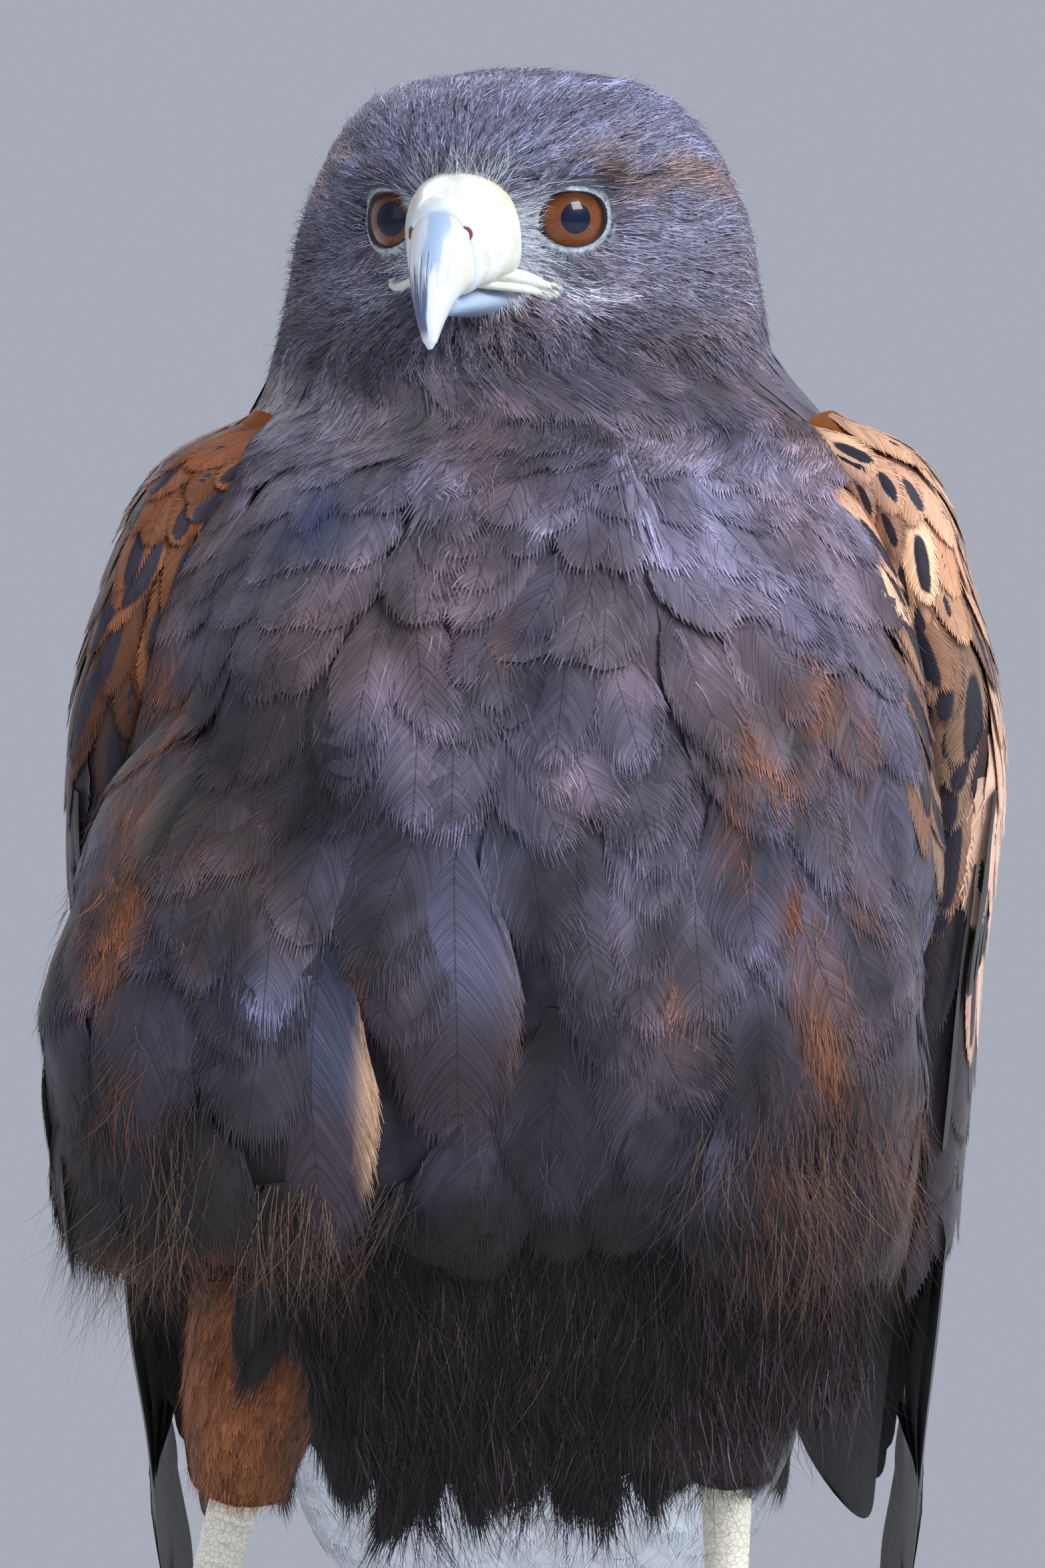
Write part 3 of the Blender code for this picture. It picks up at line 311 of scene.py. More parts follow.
class Hide:
    """A grid of places that feathers grow from, closed round its columns or open."""

    def __init__(self, places, closed, outward=None):
        self.places, self.closed = places, closed
        self.down = np.gradient(places, axis=0)
        if closed:
            ring = places[:, :-1]
            step = (np.roll(ring, -1, 1) - np.roll(ring, 1, 1)) / 2
            self.round = np.concatenate([step, step[:, :1]], axis=1)
        else:
            self.round = np.gradient(places, axis=1)
        normal = unit(np.cross(self.round, self.down))
        out = places - places.mean(1, keepdims=True) if outward is None else np.array(outward)
        self.normal = normal * (1 if (normal * out).sum() > 0 else -1)
        rows, columns = places.shape[:2]
        self.bake = np.stack(np.meshgrid(np.linspace(0, 1, columns), np.linspace(0, 1, rows)), axis=-1)

    def at(self, grid, row, column):
        """A grid's values between its points, weighted by closeness in row and column."""
        rows, columns = grid.shape[:2]
        row = np.clip(row, 0, rows - 1.001)
        column = np.mod(column, columns - 1) if self.closed else np.clip(column, 0, columns - 1.001)
        i, j = row.astype(int), np.minimum(column.astype(int), columns - 2)
        a, b = (row - i)[..., None], (column - j)[..., None]
        return ((1 - a) * ((1 - b) * grid[i, j] + b * grid[i, j + 1])
                + a * ((1 - b) * grid[i + 1, j] + b * grid[i + 1, j + 1]))

    def scatter(self, spacing, random, keep):
        """Rows and columns of roots: drawn by area, then thinned to one in each cube of a mesh."""
        area = np.linalg.norm(np.cross(self.down, self.round), axis=-1)[:-1, :-1]
        wanted = keep(self.places[:-1, :-1])
        area = area * wanted
        count = int(6 * area.sum() / spacing**2) + 1
        picked = random.choice(area.size, count, p=(area / area.sum()).ravel())
        row, column = np.unravel_index(picked, area.shape)
        row, column = row + random.random(count), column + random.random(count)
        cube = np.floor(self.at(self.places, row, column) / spacing + random.random(3)).astype(int)
        _, first = np.unique(cube, axis=0, return_index=True)
        first = np.sort(first)
        return row[first], column[first]

    def staggered(self, pitch, random, jitter=0.14):
        """Rows and columns of roots in rows, each shifted half a place from the one before.

        pitch gives, for a row's share of the way and its mean place, the distance to the next row
        and the distance between its roots."""
        step = np.linalg.norm(np.diff(self.places, axis=0), axis=-1).mean(1)
        run = np.concatenate([[0.0], np.cumsum(step)])
        index, columns = np.arange(len(run)), np.arange(self.places.shape[1])
        at, found = 0.0, []
        while at < run[-1]:
            row = np.interp(at, run, index)
            ring = self.at(self.places, row + 0.0 * columns, columns)
            reach = np.concatenate([[0.0], np.cumsum(np.linalg.norm(np.diff(ring, axis=0), axis=-1))])
            along, across = pitch(at / run[-1], ring.mean(0))
            count = max(int(round(reach[-1] / across)), 3)
            place = (np.arange(count) + 0.25 + 0.5 * (len(found) % 2)
                     + jitter * random.normal(size=count)) / count
            spot = np.interp(np.mod(place, 1.0) * reach[-1], reach, columns)
            shift = jitter * along * random.normal(size=count)
            found.append((np.interp(at + shift, run, index), spot))
            at += along
        return [np.concatenate(part) for part in zip(*found)]


def vane_shape(v, roundness):
    """Half width of a vane along its length: it swells from the root and closes as an ellipse."""
    body = 0.30 + 0.70 * rise(0.0, 0.50, v)
    start = 1 - roundness
    tip = np.sqrt(np.clip(1 - (np.maximum(v - start, 0) / roundness) ** 2, 0, 1))
    return body * tip


def vane_pattern(rows, columns, roundness=0.5):
    """A flat grid of u from -1 to 1 and v from 0 to 1, closer toward the tip, with its triangles."""
    body = rows // 2
    steps = np.concatenate([np.linspace(0, 1 - roundness, body, endpoint=False),
                            1 - roundness + roundness * np.sin(
                                np.linspace(0, math.pi / 2, rows - body))])
    v, u = np.meshgrid(steps, np.linspace(-1, 1, columns), indexing="ij")
    corner = (np.arange(rows - 1)[:, None] * columns + np.arange(columns - 1)).ravel()
    faces = np.concatenate([
        np.stack([corner, corner + 1, corner + columns + 1], axis=1),
        np.stack([corner, corner + columns + 1, corner + columns], axis=1)])
    return u.ravel(), v.ravel(), faces


class Plumage:
    """Feathers gathered as arrays until they are made into pieces."""

    def __init__(self, name, finish, limit=185000):
        self.name, self.finish, self.limit = name, finish, limit
        self.parts = []

    def add(self, shaped, faces, paint):
        """Takes n feathers of k points: n x k points, unwrap, blade and span, the m faces of one
        feather, and its two colours."""
        points, *values = shaped
        self.parts.append((points, faces, *values, *paint))

    def make(self, replaced=()):
        """Joins the feathers into as few pieces as the limit of triangles allows."""
        total = sum(part[0].shape[0] * len(part[1]) for part in self.parts)
        pieces = max(1, math.ceil(total / self.limit))
        for index in range(pieces):
            chunks = []
            start = 0
            for points, faces, *values in self.parts:
                chosen = slice(index, None, pieces)
                count, size = points[chosen].shape[:2]
                if count == 0:
                    continue
                shown = (faces[None] + size * np.arange(count)[:, None, None] + start)
                flat = [np.broadcast_to(value, (points.shape[0], size, value.shape[-1]))[chosen]
                        .reshape(count * size, -1) for value in values]
                chunks.append([points[chosen].reshape(-1, 3), shown.reshape(-1, 3), *flat])
                start += count * size
            joined = [np.concatenate(column) for column in zip(*chunks)]
            points, faces, bake, blade, span, ground, core = joined
            name = self.name if pieces == 1 else f"{self.name}_{index + 1}"
            made = piece(name, points, faces, self.finish, bake,
                         {"blade": blade, "span": span, "ground": ground, "core": core})
            if index == 0 and replaced:
                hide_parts(*replaced)


def piece(name, points, faces, finish, bake=None, values=None, flat=False):
    """A mesh piece that rides on the body, with its unwrap and its values at each point."""
    mesh = bpy.data.meshes.new(name)
    mesh.from_pydata(points + SHIFT, [], faces)
    mesh.update()
    if bake is not None:
        layer = mesh.uv_layers.new(name="OFBake")
        layer.data.foreach_set("uv", bake[np.asarray(faces).ravel()].astype(np.float32).ravel())
    for key, value in (values or {}).items():
        value = np.asarray(value, np.float32)
        if value.shape[-1] == 4:
            layer = mesh.attributes.new(key, "FLOAT_COLOR", "POINT")
            layer.data.foreach_set("color", value.ravel())
        else:
            layer = mesh.attributes.new(key, "FLOAT_VECTOR", "POINT")
            layer.data.foreach_set("vector", value.ravel())
    if not flat:
        mesh.shade_smooth()
    mesh.materials.append(finish)
    made = bpy.data.objects.new(name, mesh)
    bpy.context.scene.collection.objects.link(made)
    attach(made, "root")
    return made


def sheet_faces(rows, columns, closed=False):
    """Quads between the points of a grid; a closed grid's last column repeats its first. closed is not used."""
    corner = (np.arange(rows - 1)[:, None] * columns + np.arange(columns - 1)).ravel()
    return np.stack([corner, corner + 1, corner + columns + 1, corner + columns], axis=1)


def tube(name, places, finish, values=None, ends=True):
    """Skins a grid of rings, each a row of points round the form, and closes both ends."""
    rows, sides = places.shape[:2]
    points = places.reshape(-1, 3)
    row = np.arange(rows - 1)[:, None] * sides
    side = np.arange(sides)[None]
    after = (side + 1) % sides
    faces = np.stack([row + side, row + after, row + sides + after, row + sides + side],
                     axis=-1).reshape(-1, 4)
    centre = places.mean(1)
    outward = np.cross(points[faces[:, 1]] - points[faces[:, 0]],
                       points[faces[:, 3]] - points[faces[:, 0]])
    facing = (outward * (points[faces[:, 0]] - np.repeat(centre[:-1], sides, 0))).sum() > 0
    if not facing:
        faces = faces[:, ::-1]
    faces = faces.tolist()
    if ends:
        first, last = list(range(sides)), list(range((rows - 1) * sides, rows * sides))
        faces += [first[::-1], last] if facing else [first, last[::-1]]
    u, v = np.meshgrid(np.linspace(0, 1, sides), np.linspace(0, 1, rows))
    data = {}
    for key, value in (values or {}).items():
        data[key] = np.broadcast_to(value, (rows, sides, value.shape[-1])).reshape(rows * sides, -1)
    made = piece(name, points, faces, finish, None, data)
    layer = made.data.uv_layers.new(name="OFBake")
    corners = np.empty(len(made.data.loops), np.int32)
    made.data.loops.foreach_get("vertex_index", corners)
    flat = np.stack([u.ravel(), v.ravel()], axis=1)[corners]
    layer.data.foreach_set("uv", flat.astype(np.float32).ravel())
    return made


def with_alpha(colour, value=1.0):
    return np.concatenate([colour, np.broadcast_to(value, colour.shape[:-1])[..., None]], axis=-1)


def rim_places(count, roundness):
    """Shares along one side of a vane, close together where its tip turns."""
    straight = int(0.30 * count)
    return np.concatenate([np.linspace(0.20, 1 - roundness, straight, endpoint=False),
                           1 - roundness + roundness * np.sin(
                               np.linspace(0, math.pi / 2, count - straight))])


def lay(coat, hide, row, column, heading, length, width, ground, core, core_size, random, *,
        rows=9, columns=7, barbs=22, roundness=0.45, depth=0.003, lift=0.0005, camber=0.05,
        fray=0.0012, thickness=0.00026, hang=0.0, free=0.0, bend=13.0, splay=0.50, ripple=0.13, shade=None):
    """Lays feathers on a hide.

    A point of a feather lies x across and y along its shaft from the root, where x is u times the
    vane's half width and y is v times its length. It is carried over the hide's own grid, or with
    hang 1 straight on with a drop of bend times x^2 + y^2; free is its share of a heading of its
    own instead of one along the hide. It stands off the hide by lift - (depth + lift) (1 - v)^2, less camber times x^2 over the width. Barbs lie over the
    vane's rim and end past it, turned outward by splay at the sides and straight on at the tip."""
    count = len(row)
    root = hide.at(hide.places, row, column)
    normal = unit(hide.at(hide.normal, row, column))
    hang = np.broadcast_to(hang, count)[:, None, None]
    lie = unit(heading - (heading * normal).sum(-1, keepdims=True) * normal)
    lie = unit(lie + (unit(heading) - lie) * np.broadcast_to(free, count)[:, None])
    aside = unit(np.cross(lie, normal))
    down, across = hide.at(hide.down, row, column), hide.at(hide.round, row, column)
    metric = np.stack([(down * down).sum(-1), (down * across).sum(-1), (across * across).sum(-1)])
    spread = metric[0] * metric[2] - metric[1] ** 2 + 1e-18

    def solve(direction):
        a, b = (direction * down).sum(-1), (direction * across).sum(-1)
        return ((metric[2] * a - metric[1] * b) / spread, (metric[0] * b - metric[1] * a) / spread)

    steps = solve(lie), solve(aside)
    bake_root = hide.at(hide.bake, row, column)
    length, width = np.broadcast_to(length, count)[:, None], np.broadcast_to(width, count)[:, None]
    seed = random.random((count, 1))
    sway = (random.random((count, 1)) - 0.5) * 0.12
    step_up = (random.random((count, 1)) - 0.5) * 0.15 * depth

    def carry(x, y, v, extra, tone):
        """Points at x across and y along, of feathers at share v, raised by extra."""
        x = x + sway * y * v
        stand = lift - (depth + lift) * (1 - np.clip(v, 0, 1)) ** 2 + step_up
        stand = stand - camber * x**2 / width * 2 + extra
        straight = (root[:, None] + lie[:, None] * y[..., None] + aside[:, None] * x[..., None]
                    + normal[:, None] * (stand - bend * (x**2 + y**2))[..., None])
        r = row[:, None] + steps[0][0][:, None] * y + steps[1][0][:, None] * x
        c = column[:, None] + steps[0][1][:, None] * y + steps[1][1][:, None] * x
        carried = hide.at(hide.places, r, c) + unit(hide.at(hide.normal, r, c)) * stand[..., None]
        bake = bake_root[:, None] + 0.003 * np.stack([np.clip(x / width, -0.6, 0.6),
                                                     np.clip(v, 0, 1.1) - 0.5], axis=-1)
        blade = np.stack([2 * x / width, v + 0 * x, tone + 0 * x], axis=-1)
        span = np.stack([length * 1000 + 0 * x, width * 500 + 0 * x, seed + 0 * x], axis=-1)
        return carried + (straight - carried) * hang, bake, blade, span

    def paint(shaped):
        if shade is None:
            return with_alpha(ground)[:, None], with_alpha(core, core_size)[:, None]
        return shade(shaped[0], shaped[2], ground[:, None], core[:, None],
                     np.broadcast_to(core_size, count)[:, None])

    u, v, faces = vane_pattern(rows, columns, roundness)
    half = 0.5 * width * vane_shape(v, roundness)[None] * 0.92
    shaped = carry(u * half, v[None] * length * 0.975 + 0 * half, v[None] + 0 * half, 0.0 * half, 1.0)
    coat.add(shaped, faces, paint(shaped))
    if not barbs:
        return
    v = rim_places(barbs, roundness)
    side = np.repeat([-1.0, 1.0], barbs)
    v = np.concatenate([v, v])
    shape = vane_shape(v, roundness)
    draw = random.normal(size=(count, 2 * barbs))
    turn = splay * shape * side + 0.10 * draw
    rim_x, rim_y = side * 0.5 * width * shape * 0.92, length * v * 0.975
    past = fray * np.clip(0.9 + 0.35 * random.normal(size=(count, 2 * barbs)), 0.2, 2.0)
    inward = np.minimum(0.14 * width, 1.6 * fray) + 0 * past
    tone = 1.0 + ripple * np.where(np.arange(2 * barbs) % 2, 1, -1) + 0.5 * ripple * draw
    raised = 0.00006 + 0.00020 * random.random((count, 2 * barbs))
    corners = []
    for reach, wide, up, share in ((-inward, 0.5, 0.00003, 1.0), (0 * past, 0.5, raised, 1.0),
                                   (past, 0.12, raised, 0.6)):
        way_x, way_y = np.sin(turn * share), np.cos(turn * share)
        for sign in (-1, 1):
            off = sign * wide * thickness
            corners.append(carry(rim_x + reach * way_x - off * way_y, rim_y + reach * way_y + off * way_x,
                                 v + reach / length, up + 0 * past, tone))
    shaped = [np.stack([corner[k] for corner in corners], axis=2).reshape(count, 12 * barbs, -1)
              for k in range(4)]
    one = np.array([[1, 0, 2], [1, 2, 3], [3, 2, 4], [3, 4, 5]])
    faces = (one[None] + 6 * np.arange(2 * barbs)[:, None, None]).reshape(-1, 3)
    coat.add(shaped, faces, paint(shaped))


class Reading:
    """A socket of a finish. Sums on it add Math nodes."""

    def __init__(self, finish, socket):
        self.finish, self.socket = finish, socket

    def maths(self, operation, first, second=0.0):
        return self.finish.node("Math", {"operation": operation}, {0: first, 1: second})

    def __add__(self, other):
        return self.maths("ADD", self, other)

    __radd__ = __add__

    def __sub__(self, other):
        return self.maths("SUBTRACT", self, other)

    def __rsub__(self, other):
        return self.maths("SUBTRACT", other, self)

    def __mul__(self, other):
        return self.maths("MULTIPLY", self, other)

    __rmul__ = __mul__

    def __truediv__(self, other):
        return self.maths("DIVIDE", self, other)

    def __pow__(self, other):
        return self.maths("POWER", self, other)

    def __abs__(self):
        return self.maths("ABSOLUTE", self)


class Finish:
    """A material: constants sit on the shader's sockets, and what varies is linked to them."""

    def __init__(self, name, constants):
        self.material = bpy.data.materials.new(name)
        self.material.use_nodes = True
        self.tree = self.material.node_tree
        self.shader = self.tree.nodes["Principled BSDF"]
        for socket, value in constants.items():
            self.shader.inputs[socket].default_value = value

    def node(self, kind, settings, sockets, output=0):
        """A node of a kind, its settings set first, then the values or links of its sockets."""
        made = self.tree.nodes.new("ShaderNode" + kind)
        for key, value in settings.items():
            if key == "stops":
                stops = made.color_ramp.elements
                while len(stops) < len(value):
                    stops.new(1.0)
                for stop, (place, colour) in zip(stops, value):
                    stop.position, stop.color = place, (*colour, 1.0)
            else:
                setattr(made, key, value)
        for key, value in sockets.items():
            if isinstance(value, Reading):
                self.tree.links.new(value.socket, made.inputs[key])
            else:
                made.inputs[key].default_value = value
        return Reading(self, made.outputs[output])

    def attribute(self, name, output="Color"):
        return self.node("Attribute", {"attribute_name": name}, {}, output)

    def parts(self, vector):
        made = self.node("SeparateXYZ", {}, {0: vector})
        return [Reading(self, socket) for socket in made.socket.node.outputs]

    def place(self):
        return self.node("TexCoord", {}, {}, "Object")

    def noise(self, vector, scale, detail=2.0, rough=0.5, output="Fac"):
        return self.node("TexNoise", {}, {"Vector": vector, "Scale": scale, "Detail": detail,
                                         "Roughness": rough}, output)

    def span(self, value, low, high, start=0.0, end=1.0):
        """Goes smoothly from start to end as the value goes from low to high."""
        return self.node("MapRange", {"interpolation_type": "SMOOTHSTEP"},
                         {"Value": value, "From Min": low, "From Max": high,
                          "To Min": start, "To Max": end})

    def mix(self, share, first, second, blend="MIX"):
        """Colours mixed by a share."""
        pair = {0: share}
        for key, value in ((6, first), (7, second)):
            pair[key] = value if isinstance(value, Reading) else (*value, 1.0)
        return self.node("Mix", {"data_type": "RGBA", "blend_type": blend}, pair, 2)

    def vector(self, x, y, z):
        return self.node("CombineXYZ", {}, {0: x, 1: y, 2: z})

    def scaled(self, colour, factor):
        """A colour or vector times a number."""
        return self.node("VectorMath", {"operation": "SCALE"}, {0: colour, "Scale": factor})

    def set(self, socket, value):
        self.tree.links.new(value.socket, self.shader.inputs[socket])

    def bump(self, height, distance, strength=1.0):
        self.set("Normal", self.node("Bump", {}, {"Strength": strength, "Distance": distance,
                                                  "Height": height}))


def feather_finish(name, roughness, sheen, barb_scale, contrast, shaft=0.5, rim=1.25, slope=0.9,
                   tip=1.0, middle=0.46, narrow=0.86, loose=0.5):
    """A feather: ground and core colours from its points, barbs, rim and shaft from its blade.

    The core is an ellipse about the shaft whose size is the core colour's alpha, and which tip 0
    lets run to the feather's end. Barbs are noise stretched along y - slope |x| - s x^2 in
    millimetres, so that they bend toward the tip."""
    made = Finish(name, {"Roughness": roughness, "Sheen Weight": sheen, "Sheen Roughness": 0.45,
                         "Specular IOR Level": 0.30})
    x, v, tone = made.parts(made.attribute("blade", "Vector"))
    length, half, seed = made.parts(made.attribute("span", "Vector"))
    ground, core = made.attribute("ground"), made.attribute("core")
    size = made.attribute("core", "Alpha")
    side = abs(x)
    x_mm, y_mm = side * half, v * length
    phase = y_mm - x_mm * (side * 1.1 + slope)
    streak = made.noise(made.vector(phase * barb_scale, x_mm * 0.10, seed * 60.0), 1.0, 2.0, 0.6)
    wide = made.noise(made.vector(phase * 0.30, x_mm * 0.15, seed * 31.0), 1.0, 1.0)
    shifted = abs(x + (seed - 0.5) * 0.5)
    grown = (shifted / narrow) ** 2.0 + (abs(v - middle) / 0.50) ** 2.4 * tip
    ragged = grown + (streak + wide - 1.0) * loose
    inside = made.span(ragged / (size * size + 0.0001), 0.70, 1.25, 1.0, 0.0)
    colour = made.mix(inside, ground, core)
    pale = made.span(streak, 0.30, 0.70, 1 - contrast, 1 + contrast) * made.span(
        wide, 0.25, 0.75, 0.90, 1.10)
    # Painted highlight: the tip grows lighter by the factor rim.
    edge = made.span(v, 0.80, 1.02, 1.0, rim)
    centre = made.span(x_mm, 0.05, 0.20, shaft, 1.0)
    # Painted shade toward the root, where each feather lies under those above it.
    root_shade = made.span(v, 0.05, 0.45, 0.66, 1.0)
    made.set("Base Color", made.scaled(colour, pale * edge * centre * root_shade * tone))
    made.bump(streak, 0.00025, 0.6)
    return made.material


# The body's hide

def body_heights():
    low, neck, top = SKIN_HEIGHTS
    return np.concatenate([np.linspace(low, neck, 92)[:-1],
                           neck + (top - neck) * np.sin(np.linspace(0, math.pi / 2, 126))])


def body_hide():
    """The plumage's outer face, closed over the crown and under the belly by shrinking rings.

    Each ring is read at even steps of its own length."""
    turn, height = np.meshgrid(np.linspace(0, 2 * math.pi, 1441), body_heights())
    dense = plumage_place(turn, height)
    reach = np.cumsum(np.linalg.norm(np.diff(dense, axis=1, prepend=dense[:, :1]), axis=-1), axis=1)
    even = np.linspace(0, 1, 361)
    places = np.array([[np.interp(even * far[-1], far, line) for line in ring.T]
                       for far, ring in zip(reach, dense)]).transpose(0, 2, 1)
    top, low = places[-1], places[0]
    crown, base = top.mean(0), low.mean(0)
    share = np.linspace(0, 0.98, 8)[1:, None, None]
    over = top + (crown - top) * share + np.array([0, 0, 0.0006]) * (1 - (1 - share) ** 2)
    under = low + (base - low) * share[::-1] - np.array([0, 0, 0.0010]) * (1 - (1 - share[::-1]) ** 2)
    grid = np.concatenate([under, places, over])
    return Hide(grid, True)


BODY = body_hide()
HEAD_BASE = head_place(0.0, 0.0300, 0.0020)


def flow(place):
    """Where feathers point: away from the bill over the head, then down and off the midline."""
    x, y, z = np.moveaxis(place, -1, 0)
    away = unit(place - HEAD_BASE + head_place(0.0, 0.0, 0.0) - head_place(0.0, 0.012, 0.0))
    fall = np.stack([0.22 * np.clip(x / 0.05, -1, 1), 0.15 + 0 * x, -1 + 0 * x], axis=-1)
    share = rise(0.272, 0.300, z)[..., None]
    return share * away * np.array([1, 1, 0.9]) + (1 - share) * fall


def tint(colour, random, count, spread=0.12, hue=0.03):
    """Colours of many feathers: each as bright as its own draw, with a little of its own hue."""
    bright = np.exp(spread * random.normal(size=(count, 1)))
    return np.clip(colour * bright * (1 + hue * random.normal(size=(count, 3))), 0.002, 1.0)


def blend(first, second, share):
    return first + (second - first) * np.asarray(share)[..., None]


def bare_eye(local, grow):
    """Where a place lies inside a flat-topped oval about an eye's axis, grown by a factor."""
    inside = np.zeros(local.shape[:-1], bool)
    for side in (1, -1):
        centre, axis = eye_frame(side)
        offset = local - centre
        along = offset @ axis
        aside = offset - along[..., None] * axis
        level = np.hypot(aside[..., 0], aside[..., 1]) / 0.0075
        high = aside[..., 2] / np.where(aside[..., 2] > 0, 0.0059, 0.0064)
        inside |= (along > 0) & (np.abs(level) ** 2.3 + np.abs(high) ** 2.3 < grow**2.3)
    return inside


def lore_share(local):
    """Share of bare pale skin between bill and eyes: full in the middle, fading at its borders."""
    across, forward, up = np.moveaxis(local, -1, 0)
    across = np.abs(across)
    top = 0.0066 + 0.55 * np.maximum(across - 0.0095, 0)
    low = -0.0120 + 0.0030 * rise(0.0085, 0.0120, across)
    return (rise(0.0180, 0.0205, forward) * (1 - rise(0.0150, 0.0172, across))
            * rise(low - 0.0012, low + 0.0004, up) * (1 - rise(top - 0.0010, top + 0.0012, up)))


def bare_face(place):
    """Where no tufts grow: the lids, the bill and the lores between them."""
    local = head_frame(place)
    across, forward, up = np.moveaxis(local, -1, 0)
    bill = (np.abs(across) < 0.0082) & (forward > 0.020) & (up > -0.013) & (up < 0.0118)
    return bare_eye(local, 1.0) | (lore_share(local) > 0.5) | bill


RUFOUS_SPOTS = np.array([
    # across, height, half width, half height, share
    [0.0511, 0.2224, 0.0060, 0.0060, 1.0], [0.0575, 0.2125, 0.0040, 0.0070, 0.7],
    [0.0391, 0.2111, 0.0045, 0.0060, 0.9], [0.0448, 0.2069, 0.0050, 0.0040, 0.9],
    [0.0356, 0.1970, 0.0032, 0.0070, 0.8], [0.0377, 0.1900, 0.0028, 0.0050, 0.7],
    [0.0462, 0.1829, 0.0045, 0.0060, 0.8], [0.0511, 0.1716, 0.0048, 0.0090, 0.9],
    [0.0533, 0.1589, 0.0042, 0.0080, 0.8], [0.0715, 0.2069, 0.0040, 0.0060, 0.7],
    [0.0602, 0.1858, 0.0040, 0.0060, 0.5], [0.0250, 0.1660, 0.0028, 0.0070, 0.5],
    [-0.0674, 0.2238, 0.0045, 0.0055, 1.0], [-0.0646, 0.2167, 0.0035, 0.0055, 0.9],
    [-0.0724, 0.2054, 0.0050, 0.0070, 0.8], [-0.0738, 0.1858, 0.0055, 0.0110, 0.9],
    [-0.0794, 0.1745, 0.0050, 0.0080, 0.8], [-0.0618, 0.1942, 0.0032, 0.0060, 0.5],
    [-0.0618, 0.1745, 0.0028, 0.0065, 0.6], [-0.0322, 0.1660, 0.0024, 0.0085, 0.8],
    [-0.0724, 0.1532, 0.0040, 0.0070, 0.5], [-0.0060, 0.2280, 0.0028, 0.0085, 0.5],
    [-0.0103, 0.2576, 0.0024, 0.0050, 0.3], [-0.0427, 0.1787, 0.0026, 0.0045, 0.4],
    [0.0440, 0.1330, 0.0110, 0.0070, 0.25], [0.0640, 0.1450, 0.0060, 0.0120, 0.3],
])
# Lighter and darker spots over the front, as across, height, half width, half height and share: painted sheen
# and highlights on single feathers, and painted shade in the middle parting, between feathers, under the chin
# and over the bird's right side.
SHEEN_AND_SHADE_SPOTS = np.array([
    [0.0413, 0.2520, 0.0170, 0.0200, 0.55], [-0.0400, 0.2690, 0.0140, 0.0100, 0.16],
    [-0.0526, 0.2407, 0.0120, 0.0140, -0.35], [-0.0611, 0.2069, 0.0100, 0.0100, -0.40],
    [-0.0046, 0.2140, 0.0022, 0.0200, -0.45], [-0.0216, 0.2154, 0.0090, 0.0090, 0.35],
    [-0.0131, 0.1927, 0.0085, 0.0110, 0.55], [-0.0413, 0.1702, 0.0095, 0.0130, 0.50],
    [0.0109, 0.2167, 0.0100, 0.0120, 0.20], [0.0293, 0.2167, 0.0060, 0.0080, 0.35],
    [0.0010, 0.1645, 0.0040, 0.0120, -0.70], [0.0688, 0.1900, 0.0060, 0.0100, -0.40],
    [0.0440, 0.1560, 0.0060, 0.0120, -0.30], [-0.0100, 0.1500, 0.0100, 0.0080, -0.35],
    [0.0150, 0.1880, 0.0060, 0.0060, 0.25], [-0.0350, 0.2000, 0.0080, 0.0060, -0.20],
    [0.0300, 0.1400, 0.0060, 0.0060, 0.30], [-0.0660, 0.1360, 0.0170, 0.0130, -0.60],
    [0.0380, 0.1640, 0.0160, 0.0150, -0.35], [0.0240, 0.2520, 0.0130, 0.0150, 0.20],
    [0.0000, 0.2760, 0.0200, 0.0090, -0.60],
])


def spots(table, place):
    """Sum of bells about each spot, on the front of the body."""
    x, y, z = np.moveaxis(place, -1, 0)
    total = np.zeros(x.shape)
    for across, height, half, tall, share in table:
        total += share * np.exp(-((x - across) / half) ** 2 - ((z - height) / tall) ** 2)
    return total * (1 - rise(0.005, 0.020, y))


COVERT_EDGES = {
    "left": np.array([[0.1920, 0.0817], [0.2100, 0.0716], [0.2280, 0.0596], [0.2400, 0.0584],
                      [0.2568, 0.0540], [0.2800, 0.0505]]),
    "right": np.array([[0.2124, 0.0796], [0.2220, 0.0724], [0.2340, 0.0676], [0.2460, 0.0652],
                       [0.2568, 0.0616], [0.2712, 0.0604], [0.2808, 0.0532]]),
}


def covert_zone(place, side):
    """Where the shoulder's coverts lie over the breast: outside an edge read by height."""
    x, y, z = np.moveaxis(place, -1, 0)
    edge = COVERT_EDGES[side]
    x = x if side == "left" else -x
    return (x > read_table(edge, z)[..., 0]) & (z > edge[0, 0]) & (z < edge[-1, 0]) & (y < 0.010)


def body_skin(hide, feather):
    """The skin: the plumage's face drawn in by the coat's depth, coloured as the coat."""
    z = hide.places[..., 2]
    depth = 0.0014 + 0.0006 * (1 - rise(0.262, 0.292, z))
    local = head_frame(hide.places)
    points = hide.places - hide.normal * depth[..., None]
    colour = blend(body_colour(hide.places), head_colour(hide.places), rise(0.276, 0.292, z)) * 0.75
    lores = lore_share(local)
    bare = bare_eye(local, 1.25) * 1.0
    colour = blend(colour, screen(150, 152, 168), bare * 0.8)
    colour = blend(colour, screen(166, 170, 182), lores)
    points = points + hide.normal * (0.0012 * lores)[..., None]
    points, colour, bake = points[:, ::2], colour[:, ::2], hide.bake[:, ::2]
    flat = points.reshape(-1, 3)
    rows, columns = points.shape[:2]
    made = piece("body_skin", flat, orient(flat, sheet_faces(rows, columns)), feather,
                 bake.reshape(-1, 2), {"ground": with_alpha(colour.reshape(-1, 3))})
    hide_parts("head", "neck", "torso")


def orient(points, faces):
    """Turns all faces of a closed surface outward by the sign of its volume."""
    a, b, c = points[faces[:, 0]], points[faces[:, 1]], points[faces[:, 2]]
    middle = points.mean(0)
    volume = (np.cross(b - a, c - a) * (a - middle)).sum()
    return faces if volume > 0 else faces[:, ::-1]


